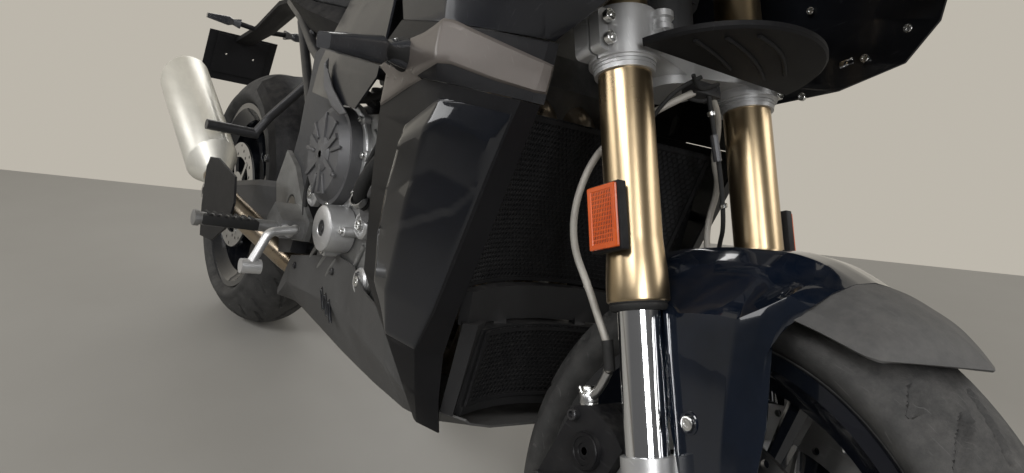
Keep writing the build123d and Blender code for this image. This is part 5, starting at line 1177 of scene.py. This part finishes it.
def clutch_cover():
    """The clutch cover's rim with its bolted lugs, and webs round a low hub on its face."""
    rim = turned("rim", [(80.4, 0), (90, 0), (90, 7), (88.5, 9), (84, 10), (80.4, 10)], 72)
    scatter(rim, "clutch_cover_rim", [flank_place(CLUTCH_X, FLANK_Y, CLUTCH_Z)], "chassis", "silver_casting")
    lug = turned("lug", [(0, 0), (8.5, 0), (8.5, 11), (7.4, 12), (0, 12)], 24)
    around = on_circle(CLUTCH_X, CLUTCH_Z, 88, range(12, 372, 40))
    places = [flank_place(x, FLANK_Y, z) for x, z in around]
    scatter(lug, "clutch_cover_lugs", places, "chassis", "silver_casting")
    bolts("clutch_cover_bolts", BIKE, [(x, -159.4, z) for x, z in around], (0, -1, 0), 5.2, 5, "chassis",
          "bright_bolt")
    web = apply_modifiers(slab("web", (0.034, 0.006, 0.005), 0.0015))
    angles = range(20, 380, 40)
    places = [flank_place(x, CLUTCH_FACE_Y - 0.6, z) @ Matrix.Rotation(math.radians(a), 4, "Z")
              for a, (x, z) in zip(angles, on_circle(CLUTCH_X, CLUTCH_Z, 50, angles))]
    scatter(web, "clutch_cover_webs", places, "chassis", "cover_grey")
    dome = turned("dome", [(0, 5), (12, 5), (17, 3.4), (26, 2.8), (28, 1.2), (28, -1)], 48)
    scatter(dome, "clutch_cover_hub", [flank_place(CLUTCH_X, CLUTCH_FACE_Y, CLUTCH_Z)], "chassis",
            "cover_grey")


def starter_cover():
    """The starter cover's turned face with its plug, and three bolted lugs round it."""
    middle = [flank_place(STARTER_X, STARTER_FACE_Y, STARTER_Z)]
    face = turned("face", [(12.5, -2), (12.5, 2.4), (14, 4), (31, 4.4), (35.5, 2), (36.4, -2), (36.4, -38),
                           (35, -38)], 56)
    scatter(face, "starter_cover_face", middle, "chassis", "silver_casting")
    plug = turned("plug", [(0, 3.4), (5, 3.4), (6, 2), (9.6, 2), (12.4, 3), (12.8, -3)], 40)
    scatter(plug, "starter_cover_plug", middle, "chassis", "dark_metal")
    around = on_circle(STARTER_X, STARTER_Z, 43, (10, 130, 250))
    lug = turned("lug", [(0, 0), (7.5, 0), (7.5, 26), (6.4, 27), (0, 27)], 24)
    places = [flank_place(x, FLANK_Y, z) for x, z in around]
    scatter(lug, "starter_cover_lugs", places, "chassis", "silver_casting")
    bolts("starter_cover_bolts", BIKE, [(x, -174.4, z) for x, z in around], (0, -1, 0), 4.6, 4.5, "chassis",
          "bright_bolt")


def engine_dressing():
    """Cover rims, webs and bolts, engine mounts, ribs, and the pump hose and looms on the right flank."""
    clutch_cover()
    starter_cover()
    mounts = ((126, 470), (-82, 470), (158, 392))
    mount = turned("mount", [(0, 0), (21, 0), (21, 10), (18, 13), (15, 13), (14, 10), (9, 10), (9, 13),
                             (0, 13)], 40)
    places = [flank_place(x, FLANK_Y, z) for x, z in mounts]
    scatter(mount, "engine_mount_bosses", places, "chassis", "silver_casting")
    bolts("engine_mount_bolts", BIKE, [(x, -160, z) for x, z in mounts], (0, -1, 0), 8, 5, "chassis",
          "bright_bolt")
    ribs = [tube("rib", [(x0, -148, z0), ((x0 + x1) / 2, -152, (z0 + z1) / 2), (x1, -148, z1)], 4.2)
            for x0, z0, x1, z1 in ((96, 352, 132, 440), (128, 350, 168, 438), (160, 352, 206, 440),
                                   (90, 610, 206, 540), (104, 578, 214, 512), (-60, 365, -20, 410),
                                   (-20, 358, 20, 402), (20, 356, 52, 398))]
    hoses = [tube("hose", points, radius) for radius, points in (
        (10.5, ((146, -166, 506), (146, -182, 512), (168, -186, 548), (196, -176, 592), (228, -156, 640))),
        (7, ((-96, -150, 604), (-40, -158, 640), (30, -160, 648), (96, -154, 660), (160, -146, 700))),
        (4.5, ((90, -152, 650), (60, -166, 668), (10, -170, 672), (-60, -160, 664), (-110, -152, 640))),
        (4, ((120, -151, 600), (108, -160, 560), (112, -163, 520), (132, -158, 488))),
        (4.5, ((-100, -150, 560), (-112, -158, 500), (-108, -160, 440), (-88, -154, 400))))]
    settle(joined(ribs), "crankcase_ribs", "chassis", "cast_engine", BIKE, 40)
    settle(joined(hoses), "engine_hoses", "chassis", "black_rubber", BIKE, 40)
    band = turned("band", [(10.6, -5), (12.4, -5), (12.8, -4), (12.8, 4), (12.4, 5), (10.6, 5)], 32)
    places = [frame_at(BIKE, (148, -180, 512), (0.2, -0.6, 0.4)),
              frame_at(BIKE, (200, -173.5, 598), (0.45, 0.3, 0.8))]
    scatter(band, "hose_clamps", places, "chassis", "machined_steel")


def foot_dressing():
    """Ribbed rubbers on the pegs, and the bolts of both hangers."""
    tread = apply_modifiers(slab("tread", (0.026, 0.017, 0.092), 0.003))
    bar = apply_modifiers(slab("bar", (0.027, 0.004, 0.006), 0.001))
    bars = [duplicate(bar, "bar", Matrix.Translation((0, 0.0095, -0.036 + 0.012 * k))) for k in range(7)]
    bpy.data.objects.remove(bar)
    rubber = joined([tread] + bars)
    places = []
    for s, _ in SIDES:
        axis = Vector((6, s * 103, 5)).normalized()
        side = Vector((0, 0, 1)).cross(axis).normalized()
        turn = Matrix((side, axis.cross(side), axis)).transposed().to_4x4()
        places.append(BIKE @ Matrix.Translation(Vector((-99.4, s * 282, 404.5)) * MM) @ turn)
    scatter(rubber, "peg_rubbers", places, "chassis", "black_rubber")
    for s, word in SIDES:
        spots = [(-84, s * 198, 400), (-150, s * 198, 394), (-222, s * 198, 500)]
        bolts("hanger_bolts_" + word, BIKE, spots, (0, s, 0), 7, 5, "chassis", "dark_bolt")


engine_dressing()
foot_dressing()


# ---------------------------------------------------------------- tank, seats and other sides
SWELL_FRAMES = 20
SWELL_PRESSURE = 4


def smooth_skin(node_name, name, finish):
    """A CAD node's form remeshed and relaxed to soft pressed curves; it replaces the node."""
    obj = settle(node_form(node_name, name, 7, 0.6, 14), name, "chassis", finish, HERE, 60)
    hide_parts(node_name)
    return obj


def swell(obj, cap, floor):
    """Blow a pad up as cloth, held below floor(x) millimetres, with no point moved beyond the cap."""
    back = BIKE.inverted()
    start = [vertex.co.copy() for vertex in obj.data.vertices]
    held = obj.vertex_groups.new(name="held")
    low = [v.index for v in obj.data.vertices if (back @ v.co).z < floor((back @ v.co).x / MM) * MM]
    held.add(low, 1.0, "REPLACE")
    cloth = obj.modifiers.new("cloth", "CLOTH")
    cloth.settings.use_pressure = True
    cloth.settings.uniform_pressure_force = SWELL_PRESSURE
    cloth.settings.effector_weights.gravity = 0
    cloth.settings.vertex_group_mass = "held"
    cloth.point_cache.frame_start = 1
    cloth.point_cache.frame_end = SWELL_FRAMES
    for frame_number in range(1, SWELL_FRAMES + 1):
        bpy.context.scene.frame_set(frame_number)
    seen = obj.evaluated_get(bpy.context.evaluated_depsgraph_get())
    moved = [vertex.co.copy() for vertex in seen.data.vertices]
    obj.modifiers.remove(cloth)
    bpy.context.scene.frame_set(1)
    for vertex, before, after in zip(obj.data.vertices, start, moved):
        step = after - before
        if step.length > cap:
            step *= cap / step.length
        vertex.co = before + step


def puff(node_name, name, cap, floor):
    """A seat pad: its form remeshed, swelled as cloth over its base, and subdivided."""
    obj = settle(node_form(node_name, name, 6, 0.5, 6), name, "chassis", "seat_cover", HERE, 0)
    swell(obj, cap, floor)
    finer = obj.modifiers.new("finer", "SUBSURF")
    finer.levels = 1
    finer.render_levels = 1
    settle(obj, name, "chassis", "seat_cover", HERE, 0)
    obj.data.polygons.foreach_set("use_smooth", [True] * len(obj.data.polygons))
    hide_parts(node_name)
    return obj


def seam_over(obj, name, points, radius, finish):
    """A line of piping laid on a piece: each point dropped on its surface, then a smooth cord."""
    laid = [on_top(obj, x, y) for x, y in points]
    laid = [spot + Vector((0, 0, radius * 0.35)) for spot in laid if spot is not None]
    if len(laid) > 3:
        settle(tube(name, laid, radius), name, "chassis", finish, BIKE, 40)


def channel(pad, name, x, half, bow):
    """A sewn line across a pad at x, half as wide to each side, its middle bowed back."""
    points = [(x - bow * (1 - (t / 4) ** 2), half * t / 4) for t in range(-4, 5)]
    seam_over(pad, name, points, 1.4, "black_rubber")


def seats():
    """Both seats as padded covers, with piping down their edges and sewn lines across. Each is held
    below a height that steps up where the seat does."""
    rider = puff("rider_seat", "rider_pad", 0.007, lambda x: 826 if x > -330 else 842)
    pillion = puff("pillion_seat", "pillion_pad", 0.006, lambda x: 876 if x > -500 else 896)
    rider_edge = ((-96, 40), (-130, 52), (-180, 68), (-240, 88), (-300, 102), (-350, 104), (-384, 100))
    pillion_edge = ((-412, 92), (-460, 94), (-520, 90), (-580, 82), (-640, 72), (-672, 66))
    for s, word in SIDES:
        seam_over(rider, "rider_piping_" + word, [(x, s * y) for x, y in rider_edge], 2.0, "black_rubber")
        seam_over(pillion, "pillion_piping_" + word, [(x, s * y) for x, y in pillion_edge], 2.0,
                  "black_rubber")
    for k, x in enumerate((-200, -262, -324)):
        channel(rider, "rider_channel_%d" % k, x, 60 - (x + 200) * 0.24, 8)
    for k, x in enumerate((-460, -530, -600)):
        channel(pillion, "pillion_channel_%d" % k, x, 82 + (x + 460) * 0.1, 6)


def tank():
    """The tank's smooth skin with its filler cap, the cap's screws, and a seam along its crest."""
    skin = smooth_skin("fuel_tank", "tank_skin", "slate_paint")
    filler_x, facing = 232, (0.06, 0, 1)
    top = on_top(skin, filler_x, 0)
    flange = turned("flange", [(0, -2), (33, -2), (33, 2.6), (31, 4), (27, 4.4), (26, 3), (25, 3), (24, 6),
                               (8, 7), (7, 6.4), (0, 6.4)], 56)
    scatter(flange, "filler_cap", [frame_at(BIKE, top, facing)], "chassis", "dark_metal")
    spots = [(x, y, top.z + 3.5) for x, y in on_circle(filler_x, 0, 29, range(0, 360, 60))]
    bolts("filler_bolts", BIKE, spots, facing, 2.6, 2.4, "chassis", "bright_bolt")
    seam_over(skin, "tank_seam", [(x, 0) for x in (-60, -30, 0, 40, 80, 120, 160, 190)], 1.1, "gloss_black")


def squared(radius, turn):
    """Cosine and sine of a turn drawn out towards the corners, for a softly squared outline."""
    c, s = math.cos(turn), math.sin(turn)
    return radius[0] * math.copysign(math.sqrt(abs(c)), c), radius[1] * math.copysign(math.sqrt(abs(s)), s)


def mirrors_and_panel():
    """Mirror glasses, the instrument screen, and bowls with dark eyes on the lamps' faces."""
    for s, word in SIDES:
        deselect()
        bpy.ops.mesh.primitive_cylinder_add(vertices=64, radius=1, depth=0.0024)
        glass = bpy.context.active_object
        for vertex in glass.data.vertices:
            vertex.co.xy = squared((0.035, 0.059), math.atan2(vertex.co.y, vertex.co.x))
        place = (FORK @ Matrix.Translation(Vector((60.2, s * 392, 1006.1)) * MM)
                 @ Matrix.Rotation(RAKE, 4, "Y") @ Matrix.Rotation(math.radians(6) * s, 4, "Z")
                 @ Matrix.Translation((-0.0148, 0, 0)) @ Matrix.Rotation(-math.pi / 2, 4, "Y"))
        settle(glass, "mirror_glass_" + word, "steering", "mirror_glass", place)
    panel = (BIKE @ Matrix.Translation(Vector((596, 0, 1056)) * MM)
             @ Matrix.Rotation(math.radians(-62), 4, "Y") @ Matrix.Translation((0, 0, 0.0098)))
    screen = slab("screen", (0.088, 0.150, 0.0024), 0.001)
    settle(screen, "instrument_screen", "chassis", "gloss_black", panel)
    bowl = turned("bowl", [(0, 0.6), (11, 1.2), (15, 2.6), (17, 3.2), (19, 2.8), (20, 0), (19, -4),
                           (0, -4)], 40)
    eye = turned("eye", [(0, 4.0), (7, 3.4), (11, 1.4), (11, -2), (0, -2)], 32)
    places = []
    for s, _ in SIDES:
        for start, toward in (((1000, s * 172, 935), (-1, s * -0.55, -0.02)),
                              ((960, s * 240, 950), (-1, s * -0.9, -0.05))):
            found = struck(frame["nodes"]["headlamps"], start, toward)
            if found:
                places.append(frame_at(BIKE, *found))
    scatter(bowl, "lamp_bowls", places, "chassis", "bright_tube")
    scatter(eye, "lamp_eyes", places, "chassis", "smoked_lens")


def belly_vents():
    """Slanted slots with dark hearts and two bolts on each flank of the belly pan."""
    for s, word in SIDES:
        slot = apply_modifiers(slab("slot", (0.040, 0.010, 0.0024), 0.0011, (0.0022, 0.0018)))
        places = [frame_at(BIKE, (x, s * 151.6, z), (0, s, 0), math.radians(52 * s))
                  for x, z in ((26, 318), (44, 314), (62, 309))]
        scatter(slot, "belly_slots_" + word, places, "chassis", "gloss_black", 30)
        bolts("belly_bolts_" + word, BIKE, [(46, s * 153.6, 372), (-120, s * 151, 330)], (0, s, 0), 6, 3,
              "chassis", "dark_bolt")


def side_blades():
    """A pointed blade under each tank side panel, folded along its length."""
    for s, word in SIDES:
        table = [[(2, s * 208, 700), (8, s * 214, 690), (22, s * 213, 684)],
                 [(16, s * 209, 664), (36, s * 220, 658), (60, s * 216, 660)],
                 [(50, s * 210, 634), (76, s * 219, 634), (104, s * 216, 640)],
                 [(96, s * 212, 622), (110, s * 216, 625), (124, s * 214, 630)]]
        blade = rounded(folded("blade", table, 5, 4, (0.2, s, 0), 3.0, (0, 1, 2)), 0.8)
        settle(blade, "side_blade_" + word, "chassis", "cover_grey", BIKE, 24)


def nose_screws():
    """Screws and a clip on the left fairing's inner face, seen past the fork."""
    inward = (0.1, -1, 0)
    spots = [(517, 212.5, 898), (613, 206, 843), (560, 184.5, 786), (655, 203, 880)]
    bolts("fairing_screws", BIKE, spots, inward, 5, 3.5, "chassis", "bright_bolt")
    clip = slab("clip", (0.018, 0.009, 0.006), 0.0015)
    place = frame_at(BIKE, (590, 209, 836), inward, 0.5)
    settle(clip, "fairing_clip", "chassis", "bright_tube", place)


seats()
tank()
mirrors_and_panel()
belly_vents()
side_blades()
nose_screws()


# ---------------------------------------------------------------- floor, light and camera
def make_floor():
    """A plain matt floor whose far edge runs slantwise behind the machine."""
    size = 14
    bpy.ops.mesh.primitive_plane_add(size=size, location=(0, 0, 0))
    floor = bpy.context.active_object
    floor.name = "floor"
    turn = Matrix.Rotation(math.radians(42), 4, "Z")
    far_edge = Matrix.Translation((-0.85, 1.05, 0))
    floor.data.transform(far_edge @ turn @ Matrix.Translation((0, -size / 2, 0)))
    material = bpy.data.materials.new("pale_floor")
    material.use_nodes = True
    tree = material.node_tree
    shader = tree.nodes["Principled BSDF"]
    shader.inputs["Roughness"].default_value = 0.6
    where = tree.nodes.new("ShaderNodeTexCoord").outputs["Object"]
    tone = scaled(tree, noise_node(tree, where, 3.0, 4), 0.0, 1.0)
    tree.links.new(mix_colour(tree, tone, (0.265, 0.255, 0.235), (0.30, 0.29, 0.27)),
                   shader.inputs["Base Color"])
    floor.data.materials.append(material)


def make_lights():
    """A backdrop that goes from dark behind the camera to pale before it, and six soft lamps."""
    camera_way = (-0.70, 0.66, 0.10)
    dark, pale = (0.115, 0.113, 0.112), (0.53, 0.495, 0.43)
    world = bpy.data.worlds.new("studio")
    bpy.context.scene.world = world
    world.use_nodes = True
    tree = world.node_tree
    toward = tree.nodes.new("ShaderNodeVectorMath")
    toward.operation = "DOT_PRODUCT"
    tree.links.new(tree.nodes.new("ShaderNodeTexCoord").outputs["Generated"], toward.inputs[0])
    toward.inputs[1].default_value = camera_way
    wall = ramp(tree, toward.outputs["Value"], -0.45, 0.40)
    tree.links.new(mix_colour(tree, wall, dark, pale), tree.nodes["Background"].inputs["Color"])
    tree.nodes["Background"].inputs["Strength"].default_value = 0.95
    for label, place, aim, size, power in (
            ("key", (1.2, -3.0, 3.2), (0.3, 0, 0.6), (2.2, 0.7), 70),
            ("window", (3.6, -1.2, 2.3), (0.5, 0, 0.5), (0.45, 1.5), 42),
            ("window_two", (3.5, -2.1, 2.2), (0.5, 0, 0.5), (0.35, 1.5), 30),
            ("side", (-1.8, -3.4, 2.0), (0, 0, 0.5), (2.4, 0.8), 26),
            ("fill", (2.4, 2.8, 2.2), (0.4, 0, 0.5), (2.4, 1.2), 34),
            ("back", (-3.2, 1.6, 2.4), (-0.4, 0, 0.5), (2.2, 1.2), 30)):
        lamp = bpy.data.lights.new(label, "AREA")
        lamp.shape = "RECTANGLE"
        lamp.size, lamp.size_y = size
        lamp.energy = power
        thing = bpy.data.objects.new(label, lamp)
        bpy.context.scene.collection.objects.link(thing)
        thing.location = place
        thing.rotation_euler = (Vector(aim) - Vector(place)).to_track_quat("-Z", "Y").to_euler()


def make_camera():
    """The photograph's viewpoint, held in the upright machine's frame and leaned with it."""
    eye = Vector((1120, -638, 691)) * MM
    look = Vector((-0.782, 0.600, -0.168)).normalized()
    right = Vector((0.562, 0.795, 0.228))
    right = (right - look * right.dot(look)).normalized()
    up = right.cross(look)
    pose = Matrix((right, up, -look)).transposed().to_4x4()
    pose.translation = eye
    photo_width, focal_pixels = 1024, 735.3
    lens = bpy.data.cameras.new("photo_view")
    lens.sensor_width = 36.0
    lens.lens = focal_pixels / photo_width * lens.sensor_width
    lens.clip_start = 0.02
    camera = bpy.data.objects.new("photo_view", lens)
    bpy.context.scene.collection.objects.link(camera)
    camera.matrix_world = BIKE @ pose
    bpy.context.scene.camera = camera


make_floor()
make_lights()
make_camera()
bpy.context.scene.view_settings.view_transform = "Standard"
